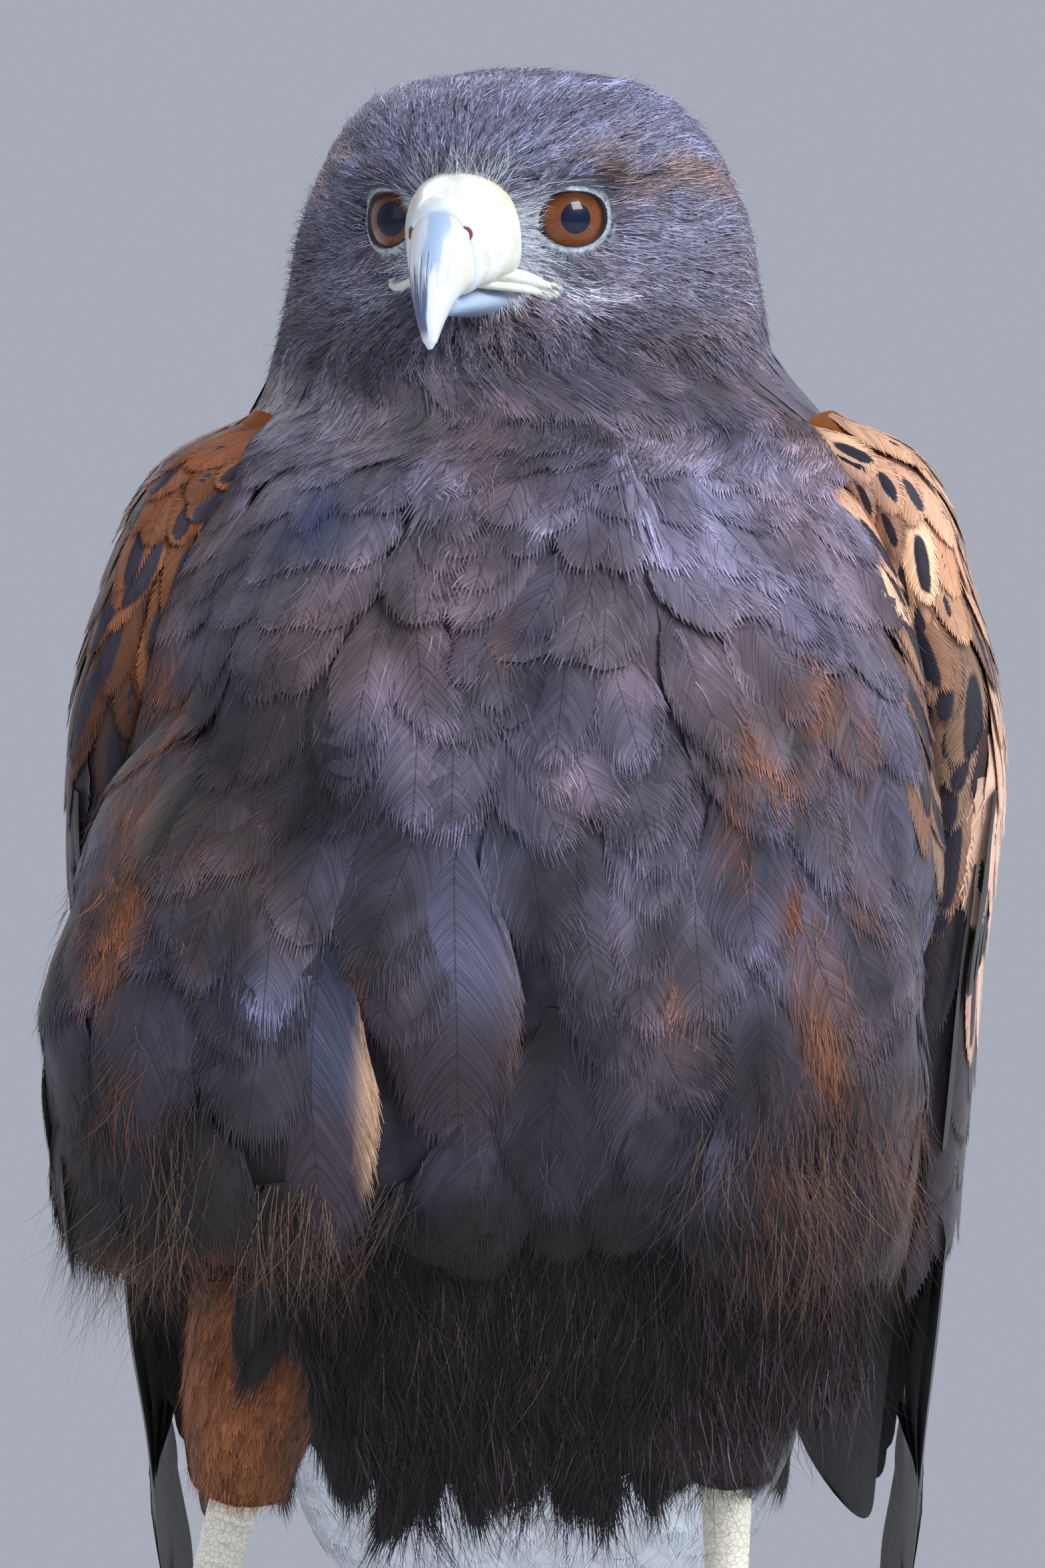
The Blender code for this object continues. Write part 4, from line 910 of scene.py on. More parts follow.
def head_colour(place):
    """Blue-grey over the crown, darker at the throat, with warm patches by the brow and cheek."""
    across, forward, up = np.moveaxis(head_frame(place), -1, 0)
    colour = blend(screen(122, 124, 150), screen(120, 117, 138), rise(0.012, -0.004, up))
    streak = np.exp(-((up + 0.0105 - 0.10 * (np.abs(across) - 0.016)) / 0.0016) ** 2) * rise(
        0.0150, 0.0165, np.abs(across)) * rise(0.0260, 0.0190, np.abs(across))
    colour = blend(colour, screen(206, 206, 220), 0.6 * streak)
    throat = rise(-0.008, -0.020, up) * rise(-0.005, 0.015, forward)
    colour = blend(colour, screen(76, 70, 84), 0.85 * throat)
    warm = np.exp(-((up - 0.011) / 0.0055) ** 2) * rise(0.012, 0.024, np.abs(across))
    warm = 0.75 * warm * np.clip(0.7 + 0.8 * mottle(place, 0.008, 31), 0, 1)
    warm = warm + 0.42 * rise(0.2, 1.4, mottle(place, 0.024, 32)) * rise(0.004, -0.010, up)
    colour = blend(colour, screen(148, 122, 108), np.clip(warm, 0, 1))
    nape = rise(0.302, 0.284, place[..., 2]) * rise(0.000, -0.022, forward)
    colour = blend(colour, screen(74, 66, 74), 0.85 * nape)
    tone_and_shade = 0.14 * mottle(place, 0.014, 33) + 0.12 * mottle(place, 0.005, 34)
    # Painted shade on the outer right side of the head, below the eyes.
    tone_and_shade = tone_and_shade - 0.34 * rise(-0.018, -0.036, across) * rise(0.012, -0.004, up)
    return colour * np.exp(tone_and_shade)[..., None]


def head_heading(place, random):
    """The flow over the head, turned away from each eye close to it, with a little disorder."""
    local = head_frame(place)
    heading = flow(place)
    for side in (1, -1):
        centre, axis = eye_frame(side)
        offset = local - centre
        along = offset @ axis
        aside = offset - along[:, None] * axis
        near = (1 - rise(0.0070, 0.0125, np.linalg.norm(aside, axis=-1))) * (along > 0)
        out = head_place(*unit(aside).T) - HEAD_CENTRE
        heading = heading + 0.45 * near[:, None] * out
    lock = np.stack([mottle(place, 0.011, key) for key in (35, 36, 37)], axis=-1)
    return heading + 0.13 * lock + 0.07 * random.normal(size=place.shape)


def head_coat(random):
    """Narrow tufts in rows, swept back from the bill and round the eyes, under hair-like barbs."""
    coat = Plumage("head_tufts", FINISH["small"])
    row, column = BODY.staggered(
        lambda share, middle: (0.0100, 0.0100) if middle[2] < 0.276 else (0.0021, 0.0018), random, 0.3)
    place = BODY.at(BODY.places, row, column)
    keep = (place[:, 2] > 0.2830) & ~bare_face(place)
    row, column, place = row[keep], column[keep], place[keep]
    count = len(row)
    _, forward, up = head_frame(place).T
    length = 0.0084 - 0.0036 * rise(0.012, 0.027, forward) + 0.0012 * (1 - rise(0.284, 0.300, place[:, 2]))
    length = length * (0.84 + 0.32 * random.random(count))
    ground = tint(head_colour(place), random, count, 0.07, 0.02)
    hang = rise(0.3290, 0.3325, place[:, 2])
    length = length * (1 - 0.25 * hang)
    lay(coat, BODY, row, column, head_heading(place, random), length, length * 0.38, ground,
        ground * 0.78, 0.62, random, rows=6, columns=3, barbs=6, depth=0.0010, lift=0.0001,
        fray=0.0014, thickness=0.00018, roundness=0.80, hang=hang, bend=20.0, splay=0.34, ripple=0.26)
    coat.make()
    row, column = BODY.scatter(0.00078, random, lambda place: (place[..., 2] > 0.2800)
                               & ~bare_face(place))
    place = BODY.at(BODY.places, row, column)
    count = len(row)
    _, forward, up = head_frame(place).T
    normal = unit(BODY.at(BODY.normal, row, column))
    length = (0.0046 - 0.0020 * rise(0.012, 0.027, forward)) * (0.7 + 0.6 * random.random(count))
    bright = np.where(random.random(count) < 0.5, 0.52, -0.60) + 0.25 * random.normal(size=count)
    colour = head_colour(place) * np.exp(bright)[:, None]
    strands("head_hairs", place + normal * 0.00012, head_heading(place, random), normal, length,
            0.00015, colour, FINISH["hair"], random, bend=12.0, lift=0.05, steps=3,
            bake=BODY.at(BODY.bake, row, column))


BODY_SIZES = np.array([
    # height, distance to the next row, width, length
    [0.084, 0.0070, 0.0130, 0.0200], [0.105, 0.0085, 0.0155, 0.0260], [0.130, 0.0120, 0.0195, 0.0340],
    [0.150, 0.0150, 0.0225, 0.0410], [0.180, 0.0150, 0.0220, 0.0420], [0.205, 0.0135, 0.0205, 0.0380],
    [0.230, 0.0110, 0.0175, 0.0310], [0.250, 0.0085, 0.0140, 0.0240], [0.265, 0.0062, 0.0105, 0.0175],
    [0.280, 0.0042, 0.0072, 0.0125], [0.295, 0.0030, 0.0055, 0.0095],
])


def belly_share(place):
    """1 on the dark belly below the flanks' lower edge, 0 on the breast."""
    x, y, z = np.moveaxis(place, -1, 0)
    edge = 0.130 + 0.004 * rise(0.012, 0.034, np.abs(x)) + 0.0025 * mottle(place, 0.012, 41)
    return rise(edge + 0.006, edge - 0.006, z)


def body_colour(place):
    """Slate, brown and blue in soft patches, lighter at the throat and almost black at the belly."""
    x, y, z = np.moveaxis(place, -1, 0)
    colour = blend(SLATE, BROWN, np.clip(0.52 + 0.34 * mottle(place, 0.036, 42), 0, 1))
    colour = blend(colour, BLUE, np.clip(0.18 * mottle(place, 0.030, 43), 0, 0.6))
    high = np.interp(z, [0.128, 0.145, 0.165, 0.190, 0.220, 0.250, 0.290],
                     [0.24, 0.38, 0.58, 0.66, 0.78, 1.02, 0.66])
    high = high * np.exp(0.26 * mottle(place, 0.022, 44) + 0.15 * mottle(place, 0.008, 45)
                         + spots(SHEEN_AND_SHADE_SPOTS, place))
    # Painted shade over the bird's right side of the breast, from below the shoulder down.
    high = high * (1 - 0.48 * rise(-0.006, -0.035, x) * rise(0.245, 0.215, z))
    high = high * (1 - 0.40 * rise(0.8, 1.7, mottle(place, 0.018, 48)))
    colour = colour * high[..., None]
    # A painted blue sheen high on the bird's right breast.
    blue = np.exp(-((x + 0.0385) / 0.006) ** 2 - ((z - 0.2545) / 0.007) ** 2) * (y < 0)
    colour = blend(colour, screen(52, 66, 104), 0.85 * blue)
    colour = blend(colour, screen(66, 56, 60), 0.9 * rise(0.000, 0.030, y))
    dark = BELLY * (0.7 * np.exp(0.25 * mottle(place, 0.014, 46)))[..., None]
    dark = blend(dark, RUFOUS_DEEP * 0.4, rise(-0.043, -0.050, x) * rise(0.125, 0.118, z))
    return blend(colour, dark, belly_share(place))


def body_coat(random):
    """Rows of broad rounded feathers, small at the throat and broadest low on the breast."""
    coat = Plumage("body_feathers", FINISH["body"])

    def pitch(share, middle):
        along, width, _ = read_table(BODY_SIZES, middle[2])
        return along, 0.50 * width

    row, column = BODY.staggered(pitch, random, 0.26)
    place = BODY.at(BODY.places, row, column)
    normal = unit(BODY.at(BODY.normal, row, column))
    keep = (place[:, 2] < 0.2880) & ~covert_zone(place, "left") & ~covert_zone(place, "right")
    keep &= (normal[:, 2] > -0.5) & ((place[:, 0] > -0.046) | (place[:, 2] > 0.136))
    keep &= ~under_front(place)
    row, column, place = row[keep], column[keep], place[keep]
    for low, high, barbs, rows, columns, fray in (
            (0.0, 0.212, 54, 12, 9, 0.0034), (0.212, 0.243, 36, 10, 7, 0.0026),
            (0.243, 1.0, 20, 8, 5, 0.0018)):
        part = (place[:, 2] >= low) & (place[:, 2] < high)
        r, c, spot = row[part], column[part], place[part]
        x, y, z = spot.T
        count = len(r)
        _, width, length = read_table(BODY_SIZES, z).T
        size = 0.82 + 0.36 * random.random((2, count))
        hem = rise(0.016, 0.030, np.abs(x)) * rise(0.133, 0.140, z) * rise(0.174, 0.160, z)
        free = np.maximum(rise(0.112, 0.100, z), hem)
        length = np.where(hem > 0.3, np.minimum(length, z - 0.121 - 0.003 * mottle(spot, 0.012, 57)), length)
        length = np.where((z < 0.140) & (z > 0.108) & (np.abs(x) > 0.024), 0.013, length)
        own = np.exp(0.22 * random.normal(size=(count, 1, 1))) * (
            1 + 0.015 * random.normal(size=(count, 1, 3)))
        rust = tint(RUFOUS * 0.66, random, count, 0.18)[:, None]
        dark = belly_share(spot)[:, None]

        def shade(points, blade, ground, core, size):
            side = np.clip(np.abs(blade[..., 0]), 0, 1.2)
            rufous = spots(RUFOUS_SPOTS, points)
            rufous = np.clip((0.25 + 1.05 * side**1.5) * rufous * 1.3 - 0.10, 0, 1) * (1 - dark)
            # Painted highlight along each feather's tip and sides.
            edge = 0.48 * rise(0.86, 1.0, blade[..., 1]) + 0.36 * rise(0.82, 1.05, side)
            colour = blend(body_colour(points) * own, rust, rufous) * (1 + edge)[..., None]
            return with_alpha(colour), with_alpha(colour * 0.80, size * (1 - 0.4 * rufous))

        lean = 0.22 * mottle(spot, 0.045, 47) + 0.12 * random.normal(size=count)
        heading = flow(spot)
        heading[:, 0] = (heading[:, 0] + lean) * (1 - 0.85 * free)
        lay(coat, BODY, r, c, heading, length * size[0], width * size[1], body_colour(spot),
            body_colour(spot), 0.85, random, rows=rows, columns=columns, barbs=barbs,
            depth=0.055 * length.mean(), lift=0.0005, fray=fray, thickness=0.00034, camber=0.09,
            hang=free, free=free, bend=4.5, roundness=0.52, splay=0.40, ripple=0.20, shade=shade)
    front_feathers(coat, random)
    hide = skirt_hide()
    row, column = hide.staggered(lambda share, middle: (0.0068, 0.0066), random, 0.34)
    spot = hide.at(hide.places, row, column)
    room = spot[:, 2] - skirt_edge(spot[:, 0])
    keep = (room > 0.012) & (spot[:, 0] > -0.052 + 0.48 * np.maximum(0.135 - spot[:, 2], 0))
    row, column, spot, room = row[keep], column[keep], spot[keep], room[keep]
    count = len(row)
    ground = tint(skirt_colour(spot), random, count, 0.30, 0.06)
    length = np.minimum(0.0200 + 0.0110 * random.random(count), room + 0.0016 * random.normal(size=count))
    heading = np.array([0, 0, -1.0]) + 0.22 * random.normal(size=(count, 3))
    lay(coat, hide, row, column, heading, length, length * 0.36, ground, ground * 0.7, 0.8, random,
        rows=10, columns=5, barbs=40, depth=0.0022, lift=0.0006, fray=0.0050, thickness=0.00026,
        camber=0.06, roundness=0.75, splay=0.26, ripple=0.35)
    coat.make()
    row, column = hide.scatter(0.00115, random, lambda place: (
        place[..., 2] > skirt_edge(place[..., 0]) + 0.004) & (
        place[..., 0] > -0.052 + 0.40 * np.maximum(0.130 - place[..., 2], 0)))
    spot, normal = hide.at(hide.places, row, column), hide.at(hide.normal, row, column)
    count = len(row)
    bright = np.where(random.random(count) < 0.20, 1.30, -0.40) + 0.40 * random.normal(size=count)
    lock = np.stack([mottle(spot, 0.014, 54), 0 * row, 0 * row], axis=-1)
    strands("skirt_hairs", spot + normal * 0.0010, np.array([0, 0, -1.0]) + 0.22 * lock
            + 0.10 * random.normal(size=(count, 3)), normal, 0.008 + 0.009 * random.random(count),
            0.00016, skirt_colour(spot) * np.exp(bright)[:, None], FINISH["hair"], random, bend=1.0,
            lift=0.06, bake=hide.at(hide.bake, row, column))


FRONT_FEATHERS = np.array([
    # across, height, length, width
    [-0.0380, 0.1810, 0.0560, 0.0270], [-0.0140, 0.1980, 0.0570, 0.0255],
])


def front_feathers(coat, random):
    """The two broad feathers low on the breast: bluish above with painted sheen, brown below, one with a tan
    rim.
    """
    across, height, length, width = FRONT_FEATHERS.T
    off = np.hypot(BODY.places[..., 0, None] - across, BODY.places[..., 2, None] - height)
    off = (off + (BODY.places[..., 1, None] > -0.02)).reshape(-1, len(across))
    row, column = [value.astype(float) for value in np.unravel_index(
        off.argmin(0), BODY.places.shape[:2])]
    # Painted bluish sheen over each feather's upper part, running to brown below.
    sheen_tops = np.array([screen(70, 74, 98), screen(92, 93, 118)])[:, None]
    rim = np.array([1.0, 0.12])[:, None]

    def shade(points, blade, ground, core, size):
        u, v = blade[..., 0], blade[..., 1]
        colour = blend(sheen_tops + 0 * points, screen(62, 51, 60) + 0 * points, rise(0.42, 0.74, v))
        tan = rise(-0.52, -0.86, u) * rise(0.18, 0.34, v) * (1 - rise(0.80, 0.96, v)) * rim
        # Painted highlight along the tip and edges.
        pale = 1 + 0.5 * rise(0.90, 1.04, v) + 0.4 * rise(0.88, 1.06, np.abs(u))
        colour = blend(colour * pale[..., None], screen(190, 154, 124) + 0 * points, tan)
        return with_alpha(colour), with_alpha(colour * 0.86, size * (1 - tan))

    heading = flow(BODY.at(BODY.places, row, column)) * np.array([0.2, 1, 1])
    lay(coat, BODY, row, column, heading, length, width, sheen_tops[:, 0], sheen_tops[:, 0], 0.85, random,
        rows=22, columns=13, barbs=150, depth=0.0014, lift=0.0034, fray=0.0042, thickness=0.00030,
        camber=0.05, hang=0.55, free=0.2, bend=3.0, roundness=0.50, splay=0.42, ripple=0.18, shade=shade)


def under_front(place):
    """Where the two broad feathers lie, so that nothing grows out over them."""
    across, height, length, width = FRONT_FEATHERS.T
    x, z = place[..., 0, None] - across, place[..., 2, None] - height
    return ((np.abs(x) < 0.66 * width) & (z < -0.002) & (z > -0.80 * length)).any(-1) & (place[..., 1] < 0)


def skirt_edge(x):
    """Height of the belly feathers' lower edge across the body."""
    return np.interp(x, [-0.050, -0.041, -0.030, -0.022, -0.013, -0.005, 0.004, 0.012, 0.022, 0.031,
                         0.045, 0.060],
                     [0.088, 0.084, 0.077, 0.0700, 0.0745, 0.0780, 0.0760, 0.0735, 0.0800, 0.0840,
                      0.0920, 0.0960])


def skirt_colour(place):
    """Almost black, a little lighter and browner toward the bird's left."""
    light = 0.72 + 1.00 * rise(0.016, 0.034, place[..., 0]) + 0.4 * rise(-0.036, -0.048, place[..., 0])
    light = light * np.exp(0.35 * mottle(place, 0.012, 56))
    return BELLY * light[..., None]


def skirt_hide():
    """The lowest belly feathers' curtain before the thighs: y falls back as |share|^3 at its sides."""
    z, share = np.meshgrid(np.linspace(0.136, 0.066, 36), np.linspace(-1, 1, 48), indexing="ij")
    y = np.interp(z, [0.066, 0.136], [-0.028, -0.044]) * (1 - 0.4 * np.abs(share) ** 3)
    return Hide(np.stack([0.003 + 0.057 * share, y, z], axis=-1), False, (0, -1, 0))


# Wings

def wing_line(along):
    """Place and heading of the leading edge, a bent line through three guides, as y and z."""
    part = (along / WING_LENGTH)[..., None]
    start, bend, end = WING_EDGE
    return ((1 - part) ** 2 * start + 2 * part * (1 - part) * bend + part**2 * end,
            unit(2 * (1 - part) * (bend - start) + 2 * part * (end - bend)))


def wing_sheet(side, y, z):
    """How far out the folded wing's outer face lies: its outline less bend times distance^2."""
    behind = y - read_table(WING_WIDEST, z)[..., 0]
    bend = np.where(behind > 0, read_table(WING_BEND, z)[..., 0], WING_FRONT_BEND)
    return read_table(WING_OUTLINE[side], z)[..., 0] - bend * behind**2


def wing_place(side, along, back, sink):
    """A place on a wing: along its leading edge, back from it, and sunk square to its face."""
    along, back, sink = np.broadcast_arrays(along, back, sink)
    place, heading = wing_line(along)
    y = place[..., 0] - back * heading[..., 1]
    z = place[..., 1] + back * heading[..., 0]
    step = 0.002
    out = wing_sheet(side, y, z)
    slope_y = (wing_sheet(side, y + step, z) - wing_sheet(side, y - step, z)) / (2 * step)
    slope_z = (wing_sheet(side, y, z + step) - wing_sheet(side, y, z - step)) / (2 * step)
    face = unit(np.stack([np.ones_like(out), -slope_y, -slope_z], axis=-1))
    point = np.stack([out, y, z], axis=-1) - sink[..., None] * face
    return point * np.array([1 if side == "left" else -1, 1, 1])


def wing_hide(side):
    """The shoulder: the wing's face rolled round its leading edge on a quarter and more of a ring.

    Columns are the distance c over the face. Where c < 0 the place is at back r - r sin(-c / r)
    and sink r - r cos(-c / r)."""
    along = np.linspace(0.0, 0.2100, 148)[:, None]
    over = np.concatenate([np.linspace(-WING_ROLL * 2.7, 0, 46)[:-1], np.linspace(0, 0.074, 90)])
    turn = np.maximum(-over, 0) / WING_ROLL
    back = np.where(over < 0, WING_ROLL - WING_ROLL * np.sin(turn), WING_ROLL + over)
    sink = np.where(over < 0, WING_ROLL - WING_ROLL * np.cos(turn), 0.0)
    round_off = 0.0035 * (1 - rise(0.0, 0.014, along))
    grid = wing_place(side, along, back[None], sink[None] + round_off)
    return Hide(grid, False, (1 if side == "left" else -1, 0, 0)), over


def wing_coverts(side, random):
    """Rufous lanceolate coverts with charcoal middles, small at the shoulder and longer below."""
    hide, over = wing_hide(side)
    rows, columns = hide.places.shape[:2]
    shown = int(0.76 * rows)
    sunk = hide.places[:shown] - hide.normal[:shown] * 0.0016
    flat = sunk.reshape(-1, 3)
    faces = sheet_faces(shown, columns)
    if side == "left":
        faces = faces[:, ::-1]
    skin = blend(RUFOUS_DEEP * 0.6 + 0 * sunk, SLATE_DEEP + 0 * sunk,
                 np.linspace(-0.6, 2.4, shown)[:, None] + 0 * over)
    piece("shoulder_skin_" + side, flat, faces, FINISH["skin"], hide.bake[:shown].reshape(-1, 2),
          {"ground": with_alpha(np.clip(skin.reshape(-1, 3), 0.01, 0.2))})
    coat = Plumage("shoulder_coverts_" + side, FINISH["covert"])
    sizes = np.array([[0.0, 0.0060, 0.0072, 0.0190], [0.3, 0.0085, 0.0098, 0.0260],
                      [0.5, 0.0110, 0.0120, 0.0330], [1.0, 0.0150, 0.0150, 0.0420]])

    def pitch(share, middle):
        along, width, _ = read_table(sizes, share / 0.81)
        return along, 0.66 * width

    row, column = hide.staggered(pitch, random, 0.20)
    keep = row < 0.73 * rows
    row, column = row[keep], column[keep]
    share = row / rows / 0.81
    _, width, length = read_table(sizes, share).T
    c = np.interp(column, np.arange(columns), over)
    count = len(row)
    end = 0.56 if side == "left" else 0.32
    behind = np.maximum(rise(0.026, 0.046, c + 0.006 * random.normal(size=count)),
                        rise(end - 0.03, end + 0.05, share + 0.03 * random.normal(size=count)))
    covert_feathers(coat, hide, row, column, hide.at(hide.down, row, column), length, width, behind,
                    side, random)
    row, column = BODY.staggered(lambda share, middle: (0.0100, 0.0074), random, 0.22)
    place = BODY.at(BODY.places, row, column)
    keep = covert_zone(place, side) & (np.abs(place[:, 0]) < 0.0765)
    row, column, place = row[keep], column[keep], place[keep]
    x, y, z = place.T
    outward = (0.20 + 0.55 * (1 - rise(0.200, 0.240, z))) * (1 if side == "left" else -1)
    heading = np.stack([outward, 0.25 + 0 * x, -1 + 0 * x], axis=-1)
    grow = np.interp(z, [0.20, 0.28], [1.0, 0.0])
    covert_feathers(coat, BODY, row, column, heading, 0.0220 + 0.0110 * grow, 0.0088 + 0.0036 * grow,
                    0.0 * z, side, random)
    coat.make()


def covert_feathers(coat, hide, row, column, heading, length, width, behind, side, random):
    """Lays rufous feathers with charcoal middles of many sizes; behind 1 makes them plain slate."""
    count = len(row)
    size = 0.88 + 0.24 * random.random(count)
    # Paler, brighter chestnut on the bird's left than on its right: painted light and sheen on the lit left
    # side and painted shade on the right. Both grow lighter toward the top of the shoulder.
    light, deep = ((screen(214, 172, 146), screen(176, 124, 92)) if side == "left"
                   else (RUFOUS * 0.9, RUFOUS_DEEP * 0.8))
    spot = hide.at(hide.places, row, column)
    top = rise(0.240, 0.256, spot[:, 2])
    edge = rise(0.0765, 0.0830, spot[:, 0]) * rise(0.180, 0.192, spot[:, 2])
    bright = (0.42 + 0.82 * top + 0.5 * edge if side == "left" else 0.30 + 0.46 * top)[:, None]
    light, deep = light * bright, deep * bright
    ground = blend(tint(light, random, count, 0.16), tint(deep, random, count, 0.16),
                   0.8 * random.random(count))
    ground = blend(ground, screen(236, 196, 172), 0.9 * edge)
    # The slate of the back coverts is painted lighter on the bird's lit left than on its shaded right.
    slate = screen(112, 108, 126) if side == "left" else screen(84, 84, 94)
    ground = blend(ground, tint(slate, random, count, 0.10), behind)
    core = blend(tint(CHARCOAL, random, count, 0.10), tint(QUILL_BROWN, random, count, 0.10), behind)
    draw = random.random(count)
    core_size = np.where(draw < 0.25, 0.15, np.where(draw < 0.75, 0.56, 0.72)) * (1 - 0.85 * edge)
    core_size = core_size * (1.20 - 0.50 * top if side == "left" else 1.0)
    core_size = np.where(behind > 0.5, 1.3, core_size)
    lay(coat, hide, row, column, heading + 0.09 * random.normal(size=(count, 3)) * np.linalg.norm(
        heading, axis=-1, keepdims=True), length * size, width * size, ground, core, core_size,
        random, rows=12, columns=7, barbs=26, depth=0.0018, lift=0.0004, fray=0.0009,
        roundness=0.66, camber=0.10, thickness=0.00026)


def quills(coat, side, roots, tips, backs, tip_backs, width, depth, slope, ground, core, core_size,
           random, rows=26, columns=7, notch=0.0, shallow=None, thick=0.00022):
    """Long wing feathers, each lying over the one in front of it.

    A point at share v and across u lies at back b + u w and sink d + slope u w, and every vane has
    an upper and a lower face that meet at its rim."""
    count = len(tips)
    v = np.concatenate([np.linspace(0, 0.88, rows - 8), 0.88 + 0.12 * np.sin(
        np.linspace(0, math.pi / 2, 9)[1:])])
    u = np.linspace(-1, 1, columns)
    along = roots[:, None] + (tips - roots)[:, None] * v
    middle = backs[:, None] + (tip_backs - backs)[:, None] * v
    tip = np.sqrt(np.clip(1 - (np.maximum(v - 0.90, 0) / 0.10) ** 2, 0, 1))
    half = 0.5 * width[:, None] * (0.6 + 0.4 * rise(0, 0.25, v)) * tip
    half = half * (1 - notch * rise(0.55, 0.75, v))
    across = half[..., None] * u
    sink = depth if np.ndim(depth) else np.full(count, depth)
    sink = np.broadcast_to(sink[:, None], along.shape)
    if shallow is not None:
        place = middle
        covered = np.maximum(rise(0.006, 0.026, place) * (1 - rise(0.214, 0.250, along)),
                             1 - rise(0.150, 0.178, along))
        sink = shallow + (sink - shallow) * covered
    seed = random.random((count, 1, 1))
    wave = 0.00025 * np.sin(9 * v[None, :, None] + 20 * seed) * (1 - np.abs(u))
    faces_of = vane_pattern(rows, columns)[2]
    for face in (0, 1):
        arch = 0.0006 * (u**2)
        level = thick * (1 - np.abs(u) ** 3) * tip[:, None] * (1 if face else -1)
        spot = wing_place(side, along[..., None] + 0 * across, middle[..., None] + across,
                          sink[..., None] + slope * across + level + arch + wave)
        points = spot.reshape(count, rows * columns, 3)
        faces = faces_of if (face == 0) == (side == "right") else faces_of[:, ::-1]
        bake = np.stack(np.broadcast_arrays(
            (middle[..., None] + across) / 0.1 * 0.9, along[..., None] / WING_LENGTH), axis=-1)
        centre_bake = bake[:, rows // 2, columns // 2][:, None, None]
        bake = centre_bake + 0.003 * np.stack(np.broadcast_arrays(0.5 * u, v[:, None] - 0.5), axis=-1)
        blade = np.stack(np.broadcast_arrays(u, v[:, None], 0.0 * u), axis=-1)[None]
        span = np.stack(np.broadcast_arrays(
            ((tips - roots) * 1000)[:, None, None], (width * 500)[:, None, None], seed), axis=-1)
        full = (count, rows, columns)
        coat.add([points] + [np.broadcast_to(value, (*full, value.shape[-1])).reshape(
            count, rows * columns, -1) for value in (bake, blade, span)], faces,
                 (with_alpha(ground)[:, None], with_alpha(core, core_size)[:, None]))


def wing_quills(side, random):
    """Greater coverts, secondaries and primaries in tiers over a dark core."""
    coat = Plumage("wing_quills_" + side, FINISH["quill"])

    def fan(first, last, count):
        return np.linspace(first, last, count)

    for count, root, front, rear, roots, tips, width, depth, slope, tone, rim, size in (
            (15, 0.0800, 0.1240, 0.1180, (0.0060, 0.0800), (0.0060, 0.0800), 0.0125, 0.0006, 0.16,
             QUILL_BROWN * 1.2, SLATE_PALE, 0.88),
            (16, 0.0950, 0.1560, 0.1360, (0.0050, 0.0800), (0.0050, 0.0780), 0.0125, 0.0024, 0.16,
             QUILL_DARK * 1.3, screen(150, 150, 168), 0.92),
            (14, 0.1300, 0.2080, 0.1740, (0.0240, 0.0770), (0.0190, 0.0680), 0.0160, 0.0050, 0.20,
             QUILL_DARK, screen(104, 100, 112), 0.95),
            (8, 0.1180, 0.2380, 0.2060, (0.0030, 0.0440), (0.0020, 0.0360), 0.0240, 0.0150, 0.85,
             QUILL_DARK * 0.8, QUILL_DARK, 0.95)):
        tip = fan(front, rear, count) + random.uniform(-0.0012, 0.0012, count)
        quills(coat, side, np.full(count, root), tip, fan(*roots, count), fan(*tips, count),
               np.full(count, width), depth, slope, tint(rim, random, count, 0.1),
               tint(tone, random, count, 0.12), size, random)
    tips = np.array([0.2620, 0.2860, 0.3030, 0.3120, 0.3060, 0.2900, 0.2680, 0.2460, 0.2260])
    index = np.arange(len(tips))
    # The primaries' bluish edges are painted blue sheen over their near-black.
    quills(coat, side, np.full(len(tips), 0.1450), tips, 0.0095 + 0.0042 * index,
           0.0085 + 0.0036 * index, np.full(len(tips), 0.0155), 0.0126, 0.25,
           tint(screen(52, 58, 84), random, len(tips), 0.1), tint(QUILL_DARK, random, len(tips), 0.1),
           0.93, random, rows=40, notch=0.12, shallow=0.0008)
    coat.make(["wing_" + side])


# Tail

def tail_place(part, across, lift):
    """A place on the tail: a share of its length, across it, and lifted square to it."""
    part, across, lift = np.broadcast_arrays(part, across, lift)
    a, b, c, d = TAIL_GUIDES
    t, rest = part[..., None], 1 - part[..., None]
    place = rest**3 * a + 3 * rest**2 * t * b + 3 * rest * t**2 * c + t**3 * d
    heading = unit(rest**2 * (b - a) + 2 * rest * t * (c - b) + t**2 * (d - c))
    return np.stack([across, place[..., 0] - heading[..., 1] * lift,
                     place[..., 1] + heading[..., 0] * lift], axis=-1)


